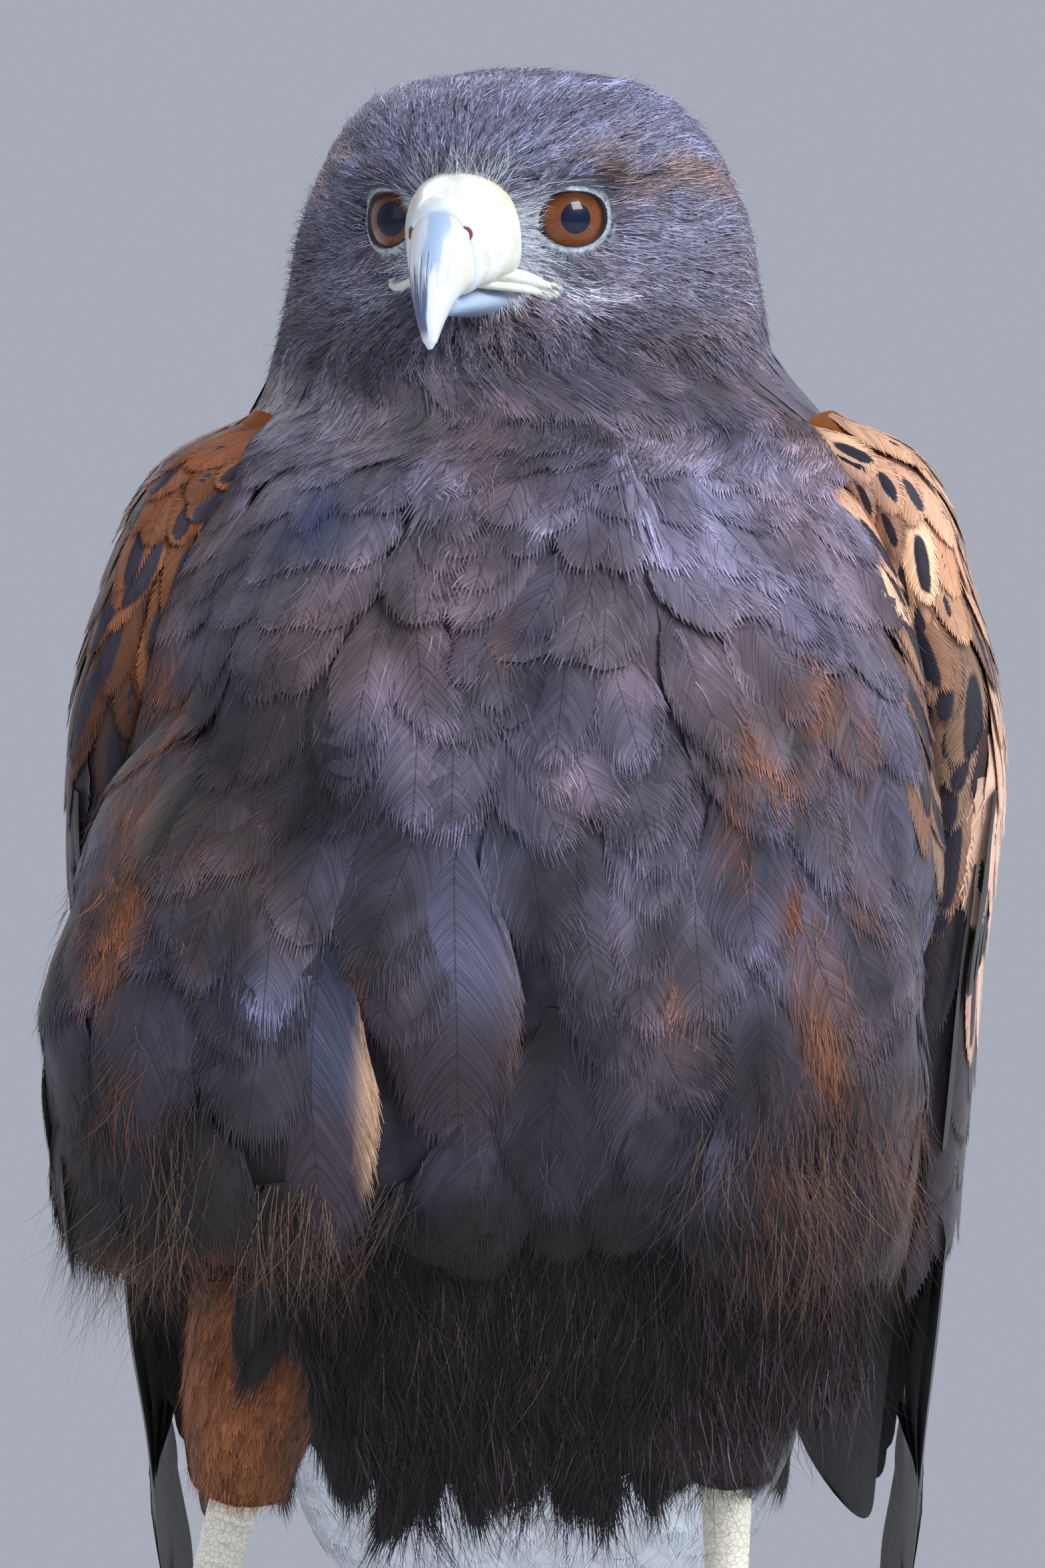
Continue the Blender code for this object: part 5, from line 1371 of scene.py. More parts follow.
def tail_quills(random):
    """Twelve long feathers: the middle pair on top, the rest tilted like shingles below it."""
    coat = Plumage("tail_quills", FINISH["tail"])
    rows, columns = 48, 7
    v = np.linspace(0, 1, rows)
    part = 0.20 + 0.80 * v
    spacing, half = np.moveaxis(read_table(TAIL_SPREAD, part), -1, 0)
    half = half * np.interp(part, [0.9, 0.955, 0.985, 1.0], [1, 0.93, 0.72, 0.30])
    u = np.linspace(-1, 1, columns)
    vanes = []
    for rank in range(TAIL_RANKS):
        for side in (1, -1):
            middle = (rank + 0.5) * spacing
            inner = half if rank == 0 else np.minimum(half, middle - 0.00035)
            offset = np.where(u < 0, inner[:, None] * u, half[:, None] * u)
            lift, slope = -3 * TAIL_PITCH, (TAIL_PITCH / spacing)[:, None]
            if rank == 0:
                lift, slope = (0.0 if side > 0 else -TAIL_PITCH), 0.0
            for face in (1, -1):
                level = 0.00026 * face * (1 - np.abs(u) ** 3)
                grid = tail_place(part[:, None], side * (middle[:, None] + offset),
                                  lift + slope * offset + level)
                vanes.append((grid, side * face))
    lowest = min(grid[..., 2].min() for grid, _ in vanes)
    faces_of = vane_pattern(rows, columns)[2]
    for index, (grid, turned) in enumerate(vanes):
        share = np.clip((0.12 - grid[..., 2]) / 0.10, 0.0, 1.0)
        grid[..., 2] -= (lowest - 0.0001) * share
        faces = faces_of[:, ::-1] if turned > 0 else faces_of
        seed = float(np.sin(index // 2 * 12.9) * 0.5 + 0.5)
        blade = np.stack(np.broadcast_arrays(u, v[:, None], 0 * u), axis=-1).reshape(1, -1, 3)
        span = np.broadcast_to([150.0, 11.0, seed], (1, rows * columns, 3))
        bake = np.array([0.5, 0.5]) + 0.003 * (blade[..., :2] * [0.5, 1] - [0, 0.5]) + (
            np.array([0.06 * (index // 2 - 6), 0.0]))
        coat.add((grid.reshape(1, -1, 3), bake, blade, span), faces,
                 (with_alpha(WHITE[None])[:, None], with_alpha(QUILL_DARK[None])[:, None]))
    coat.make(["tail"])


def covert_hide(above, sections):
    """The cushion of coverts over or under the tail's root, as rings along the tail."""
    table = np.array([[index, *row] for index, row in enumerate(sections)])
    index = np.linspace(0, len(sections) - 1, 60)
    part, half, depth = [value[:, None] for value in np.moveaxis(read_table(table, index), -1, 0)]
    around = np.linspace(0, 2 * math.pi, 73)[None]
    rise_up = 0.5 + 0.5 * np.sin(around)
    lift = 0.0009 + depth * rise_up if above else -(TAIL_DEPTH + 0.0004 + depth * rise_up)
    grid = tail_place(part, half * np.cos(around), lift)
    return Hide(grid, True)


def tail_coverts(random):
    """White coverts, soft and frayed, over and under the root of the tail."""
    for name, above, sections in (
            ("uppertail_coverts", True, [(0.02, 0.020, 0.004), (0.12, 0.027, 0.010),
                                         (0.22, 0.027, 0.009), (0.32, 0.022, 0.005),
                                         (0.38, 0.012, 0.001)]),
            ("undertail_coverts", False, [(0.02, 0.034, 0.016), (0.12, 0.045, 0.026),
                                          (0.22, 0.046, 0.027), (0.32, 0.041, 0.022),
                                          (0.42, 0.029, 0.012), (0.48, 0.014, 0.002)])):
        hide = covert_hide(above, sections)
        flat = (hide.places - hide.normal * 0.0016).reshape(-1, 3)
        rows, columns = hide.places.shape[:2]
        made = piece(name + "_skin", flat, orient(flat, sheet_faces(rows, columns)), FINISH["skin"],
                     hide.bake.reshape(-1, 2),
                     {"ground": with_alpha(np.broadcast_to(WHITE * 0.7, flat.shape))})
        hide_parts(name)
        coat = Plumage(name + "_feathers", FINISH["soft"])
        row, column = hide.staggered(lambda share, middle: (0.0100, 0.0088), random, 0.25)
        row = row * 0.86
        count = len(row)
        heading = hide.at(hide.down, row, column)
        lay(coat, hide, row, column, heading, 0.0300 * (0.8 + 0.4 * random.random(count)),
            0.0165, tint(WHITE, random, count, 0.03, 0.01), tint(WHITE * 0.86, random, count, 0.03), 0.5,
            random, barbs=26, depth=0.0020, lift=0.0003, fray=0.0036, thickness=0.00034, ripple=0.06)
        coat.make()


# Legs

def limb_rings(centres, radii, deep, sides):
    """Rings square to a line: centre + r cos a across + deep r sin a fore and aft."""
    heading = unit(np.gradient(centres, axis=0))
    across = unit(np.cross(np.array([0, 1.0, 0]), heading))
    fore = unit(np.cross(heading, across))
    around = np.linspace(0, 2 * math.pi, sides + 1)
    return (centres[:, None] + radii[:, None, None] * (
        np.cos(around)[None, :, None] * across[:, None]
        + deep * np.sin(around)[None, :, None] * fore[:, None]))


def thigh_coat(side, random):
    """A rufous thigh in soft, hair-edged feathers that point down to the joint."""
    index = np.linspace(0, 3, 70)
    table = read_table(THIGHS[side], index)
    hide = Hide(limb_rings(table[:, :3], table[:, 3], 1.15, 72), True)
    flat = (hide.places - hide.normal * 0.0015).reshape(-1, 3)
    rows, columns = hide.places.shape[:2]
    made = piece("thigh_skin_" + side, flat, orient(flat, sheet_faces(rows, columns)),
                 FINISH["skin"], hide.bake.reshape(-1, 2),
                 {"ground": with_alpha(np.broadcast_to(RUFOUS_DEEP * 0.5 if side == "right" else BELLY,
                                                flat.shape))})
    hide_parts("thigh_" + side)
    coat = Plumage("thigh_feathers_" + side, FINISH["soft"])
    row, column = hide.staggered(lambda share, middle: (0.0048, 0.0046), random, 0.2)
    keep = hide.at(hide.places, row, column)[:, 2] < 0.148
    row, column = np.minimum(row[keep], rows * 0.93), column[keep]
    count = len(row)
    length = np.interp(row / rows, [0, 0.6, 1.0], [0.018, 0.016, 0.0100])
    red = RUFOUS * 0.66 if side == "right" else BELLY * 1.5
    ground = blend(tint(red, random, count, 0.20), tint(red * 1.6, random, count, 0.1),
                   0.35 * (random.random(count) < 0.2))
    lay(coat, hide, row, column, hide.at(hide.down, row, column), length, length * 0.48,
        ground, ground * 0.8, 0.6, random, rows=7, columns=3,
        barbs=14, depth=0.0018, lift=0.0004, fray=0.0024, thickness=0.00020, roundness=0.75, splay=0.28)
    coat.make()
    row, column = hide.scatter(0.0013, random, lambda place: place[..., 2] < 0.142)
    count = len(row)
    row = np.minimum(row, rows * 0.94)
    normal = unit(hide.at(hide.normal, row, column))
    bright = np.where(random.random(count) < 0.5, 0.40, -0.45) + 0.2 * random.normal(size=count)
    place = hide.at(hide.places, row, column)
    colour = blend(red + 0 * place, BELLY * 1.6, 0.8 * rise(0.004, 0.012, (
        place[:, 0] - np.interp(place[:, 2], table[::-1, 2], table[::-1, 0])) * (1 if side == "right" else -1)))
    strands("thigh_hairs_" + side, place + normal * 0.0004, hide.at(hide.down, row, column)
            + 0.00012 * random.normal(size=(count, 3)), normal, 0.0045 + 0.0030 * random.random(count),
            0.00015, colour * np.exp(bright)[:, None], FINISH["hair"], random, bend=8.0, lift=0.10,
            bake=hide.at(hide.bake, row, column))


def scutes(along, around, count, depth):
    """Raised plates across the front: a rounded step for each of count lengths of the leg."""
    share = np.mod(along * count, 1.0)
    plate = np.sqrt(np.clip(1 - (2 * share - 1) ** 4, 0, 1))
    front = rise(-0.2, 0.5, -np.sin(around))
    return depth * plate * front


def bare_leg(side):
    """The tarsus: a tube with scutes down its front that widens to the joint and the toes."""
    heel = THIGHS[side][-1][1:4]
    foot = np.array([*FEET[side], TOE_HEIGHT * 0.8])
    heading = unit(foot - heel)
    length = (heel[2] - ANKLE_HEIGHT) / -heading[2]
    share = np.linspace(-0.10, 1.0, 160)
    swell = np.interp(share, [-0.1, 0, 0.17, 0.33, 0.5, 0.67, 0.83, 1.0],
                      [1.0, 1.18, 1.10, 0.97, 0.94, 0.94, 0.99, 1.10])
    centres = heel + heading * (share * length)[:, None]
    rings = limb_rings(centres, TARSUS_RADIUS * swell, 1.12, 40)[:, :-1]
    around = np.linspace(0, 2 * math.pi, 41)[None, :-1]
    fore = (rings - centres[:, None])
    raised = scutes(share[:, None], np.arctan2(fore[..., 1], fore[..., 0]), 15, 0.00030)
    rings = rings + unit(fore) * raised[..., None]
    made = tube("tarsus_scutes_" + side, rings, FINISH["leg"])
    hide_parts("tarsus_" + side)


def toe_section(share, knuckles, around):
    """Across and up of a toe's outline: flat below and round above, padded between the joints."""
    pad = 1 + 0.13 * np.cos(2 * math.pi * knuckles * share)
    width = 0.0082 * (1 - 0.28 * share) * pad
    height = TOE_HEIGHT * (1 - 0.22 * share) * (1 + 0.05 * np.cos(2 * math.pi * knuckles * share))
    across = 0.5 * width * np.sign(np.cos(around)) * np.abs(np.cos(around)) ** 0.8
    up = height * (0.5 + 0.5 * np.sign(np.sin(around)) * np.abs(np.sin(around)) ** np.where(
        np.sin(around) > 0, 1.0, 0.55))
    return across, up


def foot_and_claws(side):
    """An ankle and four padded toes with plates above, each ending in a bent talon."""
    heel = THIGHS[side][-1][1:4]
    end = np.array([*FEET[side], TOE_HEIGHT * 0.8])
    heading = unit(end - heel)
    top = heel + heading * ((heel[2] - ANKLE_HEIGHT) / -heading[2])
    centres = np.array([top, top + heading * 0.006, [*FEET[side], 0.0105], [*FEET[side], 0.0060],
                        [*FEET[side], 0.0014]])
    radii = np.array([0.0043, 0.0049, 0.0058, 0.0060, 0.0040])
    index = np.linspace(0, 4, 40)
    table = read_table(np.column_stack([np.arange(5), centres, radii]), index)
    around = np.linspace(0, 2 * math.pi, 37)[:-1]
    rings = table[:, None, :3] + table[:, None, 3:] * np.stack(
        [np.cos(around), 1.1 * np.sin(around), 0 * around], axis=-1)[None]
    foot = tube("foot_ankle_" + side, rings, FINISH["leg"])
    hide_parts("foot_" + side)
    for name, (angle, length, claw_length) in TOES.items():
        turn = math.radians(angle) * (1 if side == "left" else -1)
        way = np.array([-math.sin(turn), -math.cos(turn), 0.0])
        aside = np.array([-way[1], way[0], 0.0])
        knuckles = 4 if name == "middle" else 3
        share = np.linspace(0, 1, 90)[:, None]
        around = np.linspace(0, 2 * math.pi, 33)[None, :-1]
        across, up = toe_section(share, knuckles, around)
        plate = np.mod(share * knuckles * 3.2, 1.0)
        raised = 0.00028 * np.sqrt(np.clip(1 - (2 * plate - 1) ** 4, 0, 1)) * rise(
            0.2, 0.8, np.sin(around))
        close = np.where(share > 0.93, np.sqrt(np.clip(1 - ((share - 0.93) / 0.075) ** 2, 0, 1)), 1)
        up = (up + raised - 0.0030) * close + 0.0030
        up = np.maximum(up, 0.00002)
        places = (np.array([*FEET[side], 0.0]) + way * (length * share)[..., None]
                  + aside * (across * close)[..., None] + np.array([0, 0, 1.0]) * up[..., None])
        tube(f"toe_{name}_{side}", places, FINISH["leg"])
        bend, start_turn = math.radians(88), math.radians(18)
        radius = claw_length / bend
        share = np.linspace(-0.06, 1, 40)
        turned = start_turn - bend * share
        forward = radius * (math.sin(start_turn) - np.sin(turned))
        lifted = radius * (np.cos(turned) - math.cos(start_turn))
        thick = 0.0029 * np.clip(1 - np.maximum(share, 0), 0, 1) ** 0.8 + 0.00018
        root = np.array([*FEET[side], 0.0034]) + way * (length + 0.0002)
        centres = root + way * forward[:, None] + np.array([0, 0, 1.0]) * lifted[:, None]
        low = (centres[:, 2] - thick).min()
        centres[:, 2] += np.clip(share, 0, 1) * max(0.0, 0.0005 - low)
        tangent = unit(np.gradient(centres, axis=0))
        above = np.cross(aside, tangent)
        above = above * np.sign(above[:, 2:3] + 1e-9)
        around = np.linspace(0, 2 * math.pi, 25)[:-1]
        ring = centres[:, None] + thick[:, None, None] * (
            0.78 * np.cos(around)[None, :, None] * aside
            + np.sin(around)[None, :, None] * above[:, None])
        made = tube(f"talon_{name}_{side}", ring, FINISH["claw"],
                    {"tone": np.broadcast_to(np.clip(share, 0, 1)[:, None, None],
                                             (40, 24, 1)) * np.ones(3)})
        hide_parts(f"claw_{name}_{side}")


# Face

def bill_rings(place, sides):
    """Sections of the upper bill, narrow at the ridge and full at the sides, in the head's frame."""
    rows = np.column_stack([np.arange(len(BILL_SECTIONS)), BILL_SECTIONS])
    table = read_table(rows, place)[:, None]
    around = np.linspace(0, 2 * math.pi, sides + 1)[None, :-1]
    power = np.where(np.cos(around) > 0, 0.95, 0.62)
    across = table[..., 4] * np.sign(np.sin(around)) * np.abs(np.sin(around)) ** power
    share = 0.42 + np.where(np.cos(around) > 0, 0.58, 0.42) * np.sign(np.cos(around)) * np.abs(
        np.cos(around)) ** power
    forward = table[..., 2] + (table[..., 0] - table[..., 2]) * share
    up = table[..., 3] + (table[..., 1] - table[..., 3]) * share
    return np.stack([across, forward, up], axis=-1), share, around


def bill_and_cere():
    """Cere with its nostrils, hooked upper bill, lower bill and the fleshy strips of the gape."""
    place = np.concatenate([np.linspace(0, CERE_END - 0.12, 110), [3.93, 3.975, 4.0, 4.0]])
    rings, share, around = bill_rings(place, 120)
    close = np.concatenate([np.ones(110), [0.995, 0.975, 0.93, 0.80]])[:, None, None]
    middle = rings.mean(1, keepdims=True)
    swell = 1 + 0.035 * rise(2.6, 3.6, place)[:, None, None]
    rings = middle + (rings - middle) * close * swell
    nostril = np.zeros(rings.shape[:2])
    for side in (1, -1):
        across, up = (rings[..., 0] - side * 0.0053) / 0.0009, (rings[..., 2] - 0.0004) / 0.0014
        near = np.hypot(across + 0.25 * up, up) + 9.0 * (rings[..., 1] < 0.034)
        nostril = np.maximum(nostril, 1 - rise(0.50, 1.20, near))
    rings = rings - unit(rings - middle) * (0.0011 * rise(0.3, 1.0, nostril))[..., None]
    tone = np.stack(np.broadcast_arrays(place[:, None] / 4, nostril, share), axis=-1)
    made = tube("cere_skin", head_place(*np.moveaxis(rings, -1, 0)), FINISH["cere"], {"tone": tone})
    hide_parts("cere")
    place = np.concatenate([np.linspace(CERE_END - 0.25, 8.6, 90), np.linspace(8.65, 9.0, 8)])
    rings, share, around = bill_rings(place, 60)
    middle = rings.mean(1, keepdims=True)
    rings = middle + (rings - middle) * np.interp(place, [3.75, 8.7, 9.0], [0.955, 1, 0.55])[
        :, None, None]
    edge = np.stack(np.broadcast_arrays((place[:, None] - 4) / 5, np.sin(around), share), axis=-1)
    made = tube("upper_bill_horn", head_place(*np.moveaxis(rings, -1, 0)), FINISH["horn"],
                {"tone": edge})
    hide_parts("bill_upper")
    share = np.linspace(0, 1, 50)[:, None]
    around = np.linspace(0, 2 * math.pi, 41)[None, :-1]
    top, depth = -0.0062 - 0.0040 * share, 0.0080 * (1 - 0.52 * share)
    half = 0.0086 * (1 - share) + 0.0040 * share - 0.0024 * share**4
    close = np.sqrt(np.clip(1 - (np.maximum(share - 0.9, 0) / 0.105) ** 2, 0, 1))
    half, depth = half * close, depth * (0.4 + 0.6 * close)
    up = top - 0.0003 - depth * (0.5 - 0.5 * np.cos(around))
    lower = head_place(half * np.sin(around), 0.0180 + share * 0.0213, up)
    made = tube("lower_bill_horn", lower, FINISH["horn"], {"tone": np.stack(
        np.broadcast_arrays(0.12 + 0.1 * share, 0.3 + 0.25 * np.sin(around), 0 * share), axis=-1)})
    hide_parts("bill_lower")
    for name, route in (
            ("upper", [[0, 0.0040, -0.0060, 0.0012], [1, 0.0085, -0.0070, 0.0014],
                       [2, 0.0122, -0.0080, 0.0012], [3, 0.0150, -0.0088, 0.0011],
                       [4, 0.0163, -0.0082, 0.0009], [5, 0.0160, -0.0070, 0.0005]]),
            ("lower", [[0, 0.0035, -0.0084, 0.0008], [1, 0.0085, -0.0090, 0.0009],
                       [2, 0.0122, -0.0098, 0.0009], [3, 0.0148, -0.0105, 0.0010],
                       [4, 0.0163, -0.0100, 0.0011], [5, 0.0168, -0.0088, 0.0007]])):
        across, up, radius = read_table(np.array(route), np.linspace(0, 5, 60)).T
        forward = face_forward(across, up) - 0.0002
        forward = forward + 0.0060 * (1 - rise(0.0055, 0.0110, across))
        for side, hand in ((1, "left"), (-1, "right")):
            drop = 0.0014 * (side < 0) * (name == "lower")
            centres = np.stack([across, forward, up + drop], axis=-1)
            rings = limb_rings(centres, radius * (1.0 if side > 0 else 0.68), 1.0, 20)[:, :-1]
            rings = rings * np.array([side, 1, 1])
            rings[..., 0] *= 1 - 0.09 * (side > 0) * rise(0.008, 0.016, np.abs(rings[..., 0]))
            tube(f"gape_{name}_{hand}", head_place(*np.moveaxis(rings, -1, 0)), FINISH["cere"],
                 {"tone": np.broadcast_to([0.2, 0.0, 0.1], (60, 20, 3))})


def face_forward(across, up):
    """How far forward the face lies: its level section solved for y at a place across."""
    half, front, _, power = read_table(HEAD_SECTIONS, HEAD_CENTRE[2] + up).T
    return front * np.clip(1 - (np.abs(across) / half) ** power, 0, 1) ** (1 / power)


EYE_WIDE, EYE_HIGH_ABOVE, EYE_HIGH_BELOW = 1.12, 0.65, 0.72


def eye_spokes(side, around):
    """Directions from an eye's middle through its opening's rim, which is flatter at the top."""
    centre, axis = eye_frame(side)
    aside = unit(np.cross(axis, np.array([0, 0, 1.0]))) * side
    above = np.sin(around)
    high = np.where(above > 0, EYE_HIGH_ABOVE, EYE_HIGH_BELOW)
    inner = -np.cos(around)
    wide = EYE_WIDE * np.where(inner > 0, 1 + 0.16 * np.abs(inner) ** 6, 1.0)
    flat = np.where(above > 0, 0.64, 1.0)
    level = wide * np.sign(inner) * -np.abs(inner) ** flat
    out = level[..., None] * aside + (high * np.sign(above) * np.abs(above) ** flat)[
        ..., None] * np.array([0, 0, 1.0])
    return centre, axis, out


def eyes_and_lids():
    """Glossy balls, each between lids whose rim stands up round the opening and falls to the face.

    A lid's section has corners given as angle beyond the rim and rise over the ball."""
    for side, name in ((1, "left"), (-1, "right")):
        centre, axis = eye_frame(side, 1)
        aside = unit(np.cross(axis, np.array([0, 0, 1.0])))
        theta = np.concatenate([np.linspace(0.004, 0.85, 60), np.linspace(0.9, math.pi - 0.01, 30)])
        phi = np.linspace(0, 2 * math.pi, 97)[:-1]
        radius = EYE_RADIUS * (1 + 0.030 * (1 - rise(0.25, 0.72, theta)))
        out = np.cos(phi)[:, None] * aside + np.sin(phi)[:, None] * np.array([0, 0, 1.0])
        ball = centre + radius[:, None, None] * (np.cos(theta)[:, None, None] * axis
                                                 + np.sin(theta)[:, None, None] * out[None])
        seen = theta[:, None] * (1.0 if side > 0 else 0.88)
        tone = np.stack(np.broadcast_arrays(seen, np.cos(phi)[None], np.sin(phi)[None]),
                        axis=-1)
        made = tube("eyeball_" + name, head_place(*np.moveaxis(ball, -1, 0)), FINISH["eye"],
                    {"tone": tone})
        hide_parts("eye_" + name)
        around = np.linspace(0, 2 * math.pi, 121)[:-1]
        centre, axis, out = eye_spokes(side, around)
        flat = np.linalg.norm(out, axis=-1)
        start = np.arctan(flat)
        way = unit(out)
        section = np.array([[0.0, -0.02, -0.0005], [1.0, -0.005, 0.0005], [2.0, 0.030, 0.0007],
                            [3.0, 0.080, 0.0009], [4.0, 0.130, 0.0009], [5.0, 0.210, 0.0010],
                            [6.0, 0.330, 0.0012], [7.0, 0.500, 0.0008]])
        index = np.linspace(0, 7, 44)
        beyond, height = np.moveaxis(read_table(section, index), -1, 0)
        above = rise(0.0, 1.0, np.sin(around))
        angle = start[None] + beyond[:, None] * (1 + 0.15 * above)
        height = height[:, None] + 0.0006 * above[None] * rise(1.5, 4.0, index)[:, None]
        height = height + 0.00014 * np.sin(around * 46 + 3 * np.sin(around * 9))[None] * np.exp(-(
            (index[:, None] - 2.3) / 1.1) ** 2)
        lid = centre + (EYE_RADIUS + height)[..., None] * (
            np.cos(angle)[..., None] * axis + np.sin(angle)[..., None] * way[None])
        tone = np.stack(np.broadcast_arrays(index[:, None] / 7, np.sin(around)[None],
                                            np.cos(around)[None]), axis=-1)
        rows, columns = lid.shape[:2]
        lid = np.concatenate([lid, lid[:, :1]], axis=1)
        tone = np.concatenate([tone, tone[:, :1]], axis=1)
        points = head_place(*np.moveaxis(lid, -1, 0)).reshape(-1, 3)
        faces = sheet_faces(rows, columns + 1)
        corner = points[faces]
        facing = (np.cross(corner[:, 1] - corner[:, 0], corner[:, 2] - corner[:, 0])
                  @ (head_place(*axis) - HEAD_CENTRE)).sum()
        u, v = np.meshgrid(np.linspace(0, 1, columns + 1), np.linspace(0, 1, rows))
        piece("eyelids_" + name, points, faces if facing > 0 else faces[:, ::-1], FINISH["lid"],
              np.stack([u.ravel(), v.ravel()], axis=1), {"tone": tone.reshape(-1, 3)})


def strands(name, root, heading, normal, length, width, colour, finish, random, bend=0.0,
            lift=0.0, steps=5, free=0.0, bake=None):
    """Fine tapering ribbons: root + y heading + normal (lift y - bend y^2), in a few steps."""
    count = len(root)
    lie = unit(heading - (heading * normal).sum(-1, keepdims=True) * normal)
    lie = unit(lie + (unit(heading) - lie) * np.broadcast_to(free, count)[:, None])
    aside = unit(np.cross(lie, normal) + 0.6 * random.normal(size=(count, 1)) * normal)
    share = np.linspace(0, 1, steps)
    y = np.broadcast_to(length, count)[:, None] * share
    curve = (random.normal(size=(count, 1)) * 0.26 * share) * y
    half = 0.5 * width * (1 - 0.9 * share**1.5)
    line = (root[:, None] + lie[:, None] * y[..., None] + aside[:, None] * curve[..., None]
            + normal[:, None] * (lift * y - bend * y**2)[..., None])
    ribbon = np.stack([line - aside[:, None] * half[None, :, None],
                       line + aside[:, None] * half[None, :, None]], axis=2)
    points = ribbon.reshape(-1, 3)
    one = np.array([[0, 1, 3], [0, 3, 2]])
    faces = np.concatenate([one + 2 * k for k in range(steps - 1)])
    faces = (faces[None] + 2 * steps * np.arange(count)[:, None, None]).reshape(-1, 3)
    base = np.full((count, 2), 0.5) if bake is None else bake
    step = np.stack(np.broadcast_arrays(np.array([-0.5, 0.5])[None], (share - 0.5)[:, None]), axis=-1)
    unwrap = (base[:, None, None] + 0.003 * step[None]).reshape(-1, 2)
    piece(name, points, faces, finish, unwrap,
          {"ground": np.repeat(with_alpha(colour), 2 * steps, axis=0)})


def bristles(random):
    """Fine bristles over the lores and forehead, across the eyes' inner corners and on the lids."""
    row, column = BODY.scatter(0.00048, random, lambda place: bare_face(place)
                               & (head_frame(place)[..., 1] > 0.0165))
    place = BODY.at(BODY.places, row, column)
    local = head_frame(place)
    across, forward, up = local.T
    outer = rise(0.0095, 0.0150, np.abs(across)) + rise(0.0030, 0.0080, up)
    keep = ~bare_eye(local, 0.98) & (random.random(len(row)) < 0.75 + 0.25 * outer)
    row, column, place, local, outer = [value[keep] for value in (row, column, place, local, outer)]
    across, forward, up = local.T
    count = len(row)
    normal = unit(BODY.at(BODY.normal, row, column))
    side = np.sign(across)
    heading = place - head_place(side * 0.004, 0.036 + 0 * side, 0.0 * side)
    heading = unit(heading) + 0.16 * random.normal(size=(count, 3))
    inner = rise(0.0100, 0.0125, np.abs(across)) * (across < 0) * rise(-0.006, 0.000, up)
    length = (0.0022 + 0.0026 * random.random(count)) * (0.7 + 0.6 * outer + 1.7 * inner)
    dark = random.random(count) < 0.22 + 0.36 * outer
    colour = np.where(dark[:, None], screen(88, 92, 108), screen(206, 211, 222))
    places, headings, normals, lengths, colours = [place + normal * 0.0001], [heading], [normal], [
        length], [colour]
    for side in (1, -1):
        around = random.uniform(0, 2 * math.pi, 420)
        centre, axis, out = eye_spokes(side, around)
        angle = (np.arctan(np.linalg.norm(out, axis=-1)) + 0.10 + 0.14 * random.random(420))[:, None]
        way = unit(out)
        off = np.cos(angle) * axis + np.sin(angle) * way
        places.append(head_place(*(centre + (EYE_RADIUS + 0.0010) * off).T))
        turned = np.cos(angle) * way - np.sin(angle) * axis + np.array([0, -0.5 * 1, 0.2])
        headings.append(head_place(*turned.T) - HEAD_CENTRE)
        normals.append(head_place(*off.T) - HEAD_CENTRE)
        lengths.append(0.0012 + 0.0012 * random.random(420))
        colours.append(tint(screen(84, 88, 104), random, 420, 0.4))
    strands("lore_bristles", np.concatenate(places), np.concatenate(headings), np.concatenate(normals),
            np.concatenate(lengths), 0.00011, np.concatenate(colours), FINISH["hair"], random,
            bend=16.0, lift=0.20)


def wisps(random):
    """Loose hair-like barbs: a deep fringe on the flanks' lower edge and thin ones over the front."""
    row, column = BODY.scatter(0.0010, random, lambda place: (place[..., 2] > 0.090)
                               & (place[..., 2] < 0.262) & (place[..., 1] < 0.012))
    place = BODY.at(BODY.places, row, column)
    x, y, z = place.T
    hem = np.exp(-((z - 0.136 - 0.003 * mottle(place, 0.016, 51)) / 0.011) ** 2) * rise(
        0.016, 0.032, np.abs(x))
    low = np.exp(-((z - 0.104) / 0.008) ** 2)
    band = 0.85 * hem + 0.35 * low + 0.06 + 0.10 * np.clip(spots(RUFOUS_SPOTS, place), 0, 1)
    keep = (random.random(len(row)) < band) & ~under_front(place)
    row, column, place, hem = row[keep], column[keep], place[keep], hem[keep]
    count = len(row)
    normal = unit(BODY.at(BODY.normal, row, column))
    x, y, z = place.T
    lock = np.stack([mottle(place, 0.018, 52), 0 * x, mottle(place, 0.018, 53)], axis=-1)
    heading = flow(place) * np.stack([1 - 0.8 * hem, 1 + 0 * x, 1 + 0 * x], axis=-1)
    heading = heading + 0.20 * lock + 0.14 * random.normal(size=(count, 3))
    length = 0.004 + (0.004 + 0.014 * hem) * random.random(count) + 0.008 * hem
    bright = np.where(random.random(count) < 0.6, 0.55, -0.50) + 0.2 * random.normal(size=count)
    colour = body_colour(place) * np.exp(bright + 0.3 * hem)[:, None]
    tan = np.clip(0.75 * hem * (random.random(count) < 0.40), 0, 1)
    colour = blend(colour, tint(screen(120, 98, 80), random, count, 0.25), tan)
    colour = blend(colour, tint(RUFOUS * 0.75, random, count, 0.2),
                   np.clip(1.3 * spots(RUFOUS_SPOTS, place), 0, 1) * (1 - belly_share(place)))
    strands("flank_wisps", place + normal * 0.0005, heading, normal, length, 0.00014, colour,
            FINISH["hair"], random, bend=3.0, lift=0.07, free=hem, bake=BODY.at(BODY.bake, row, column))


# Finishes

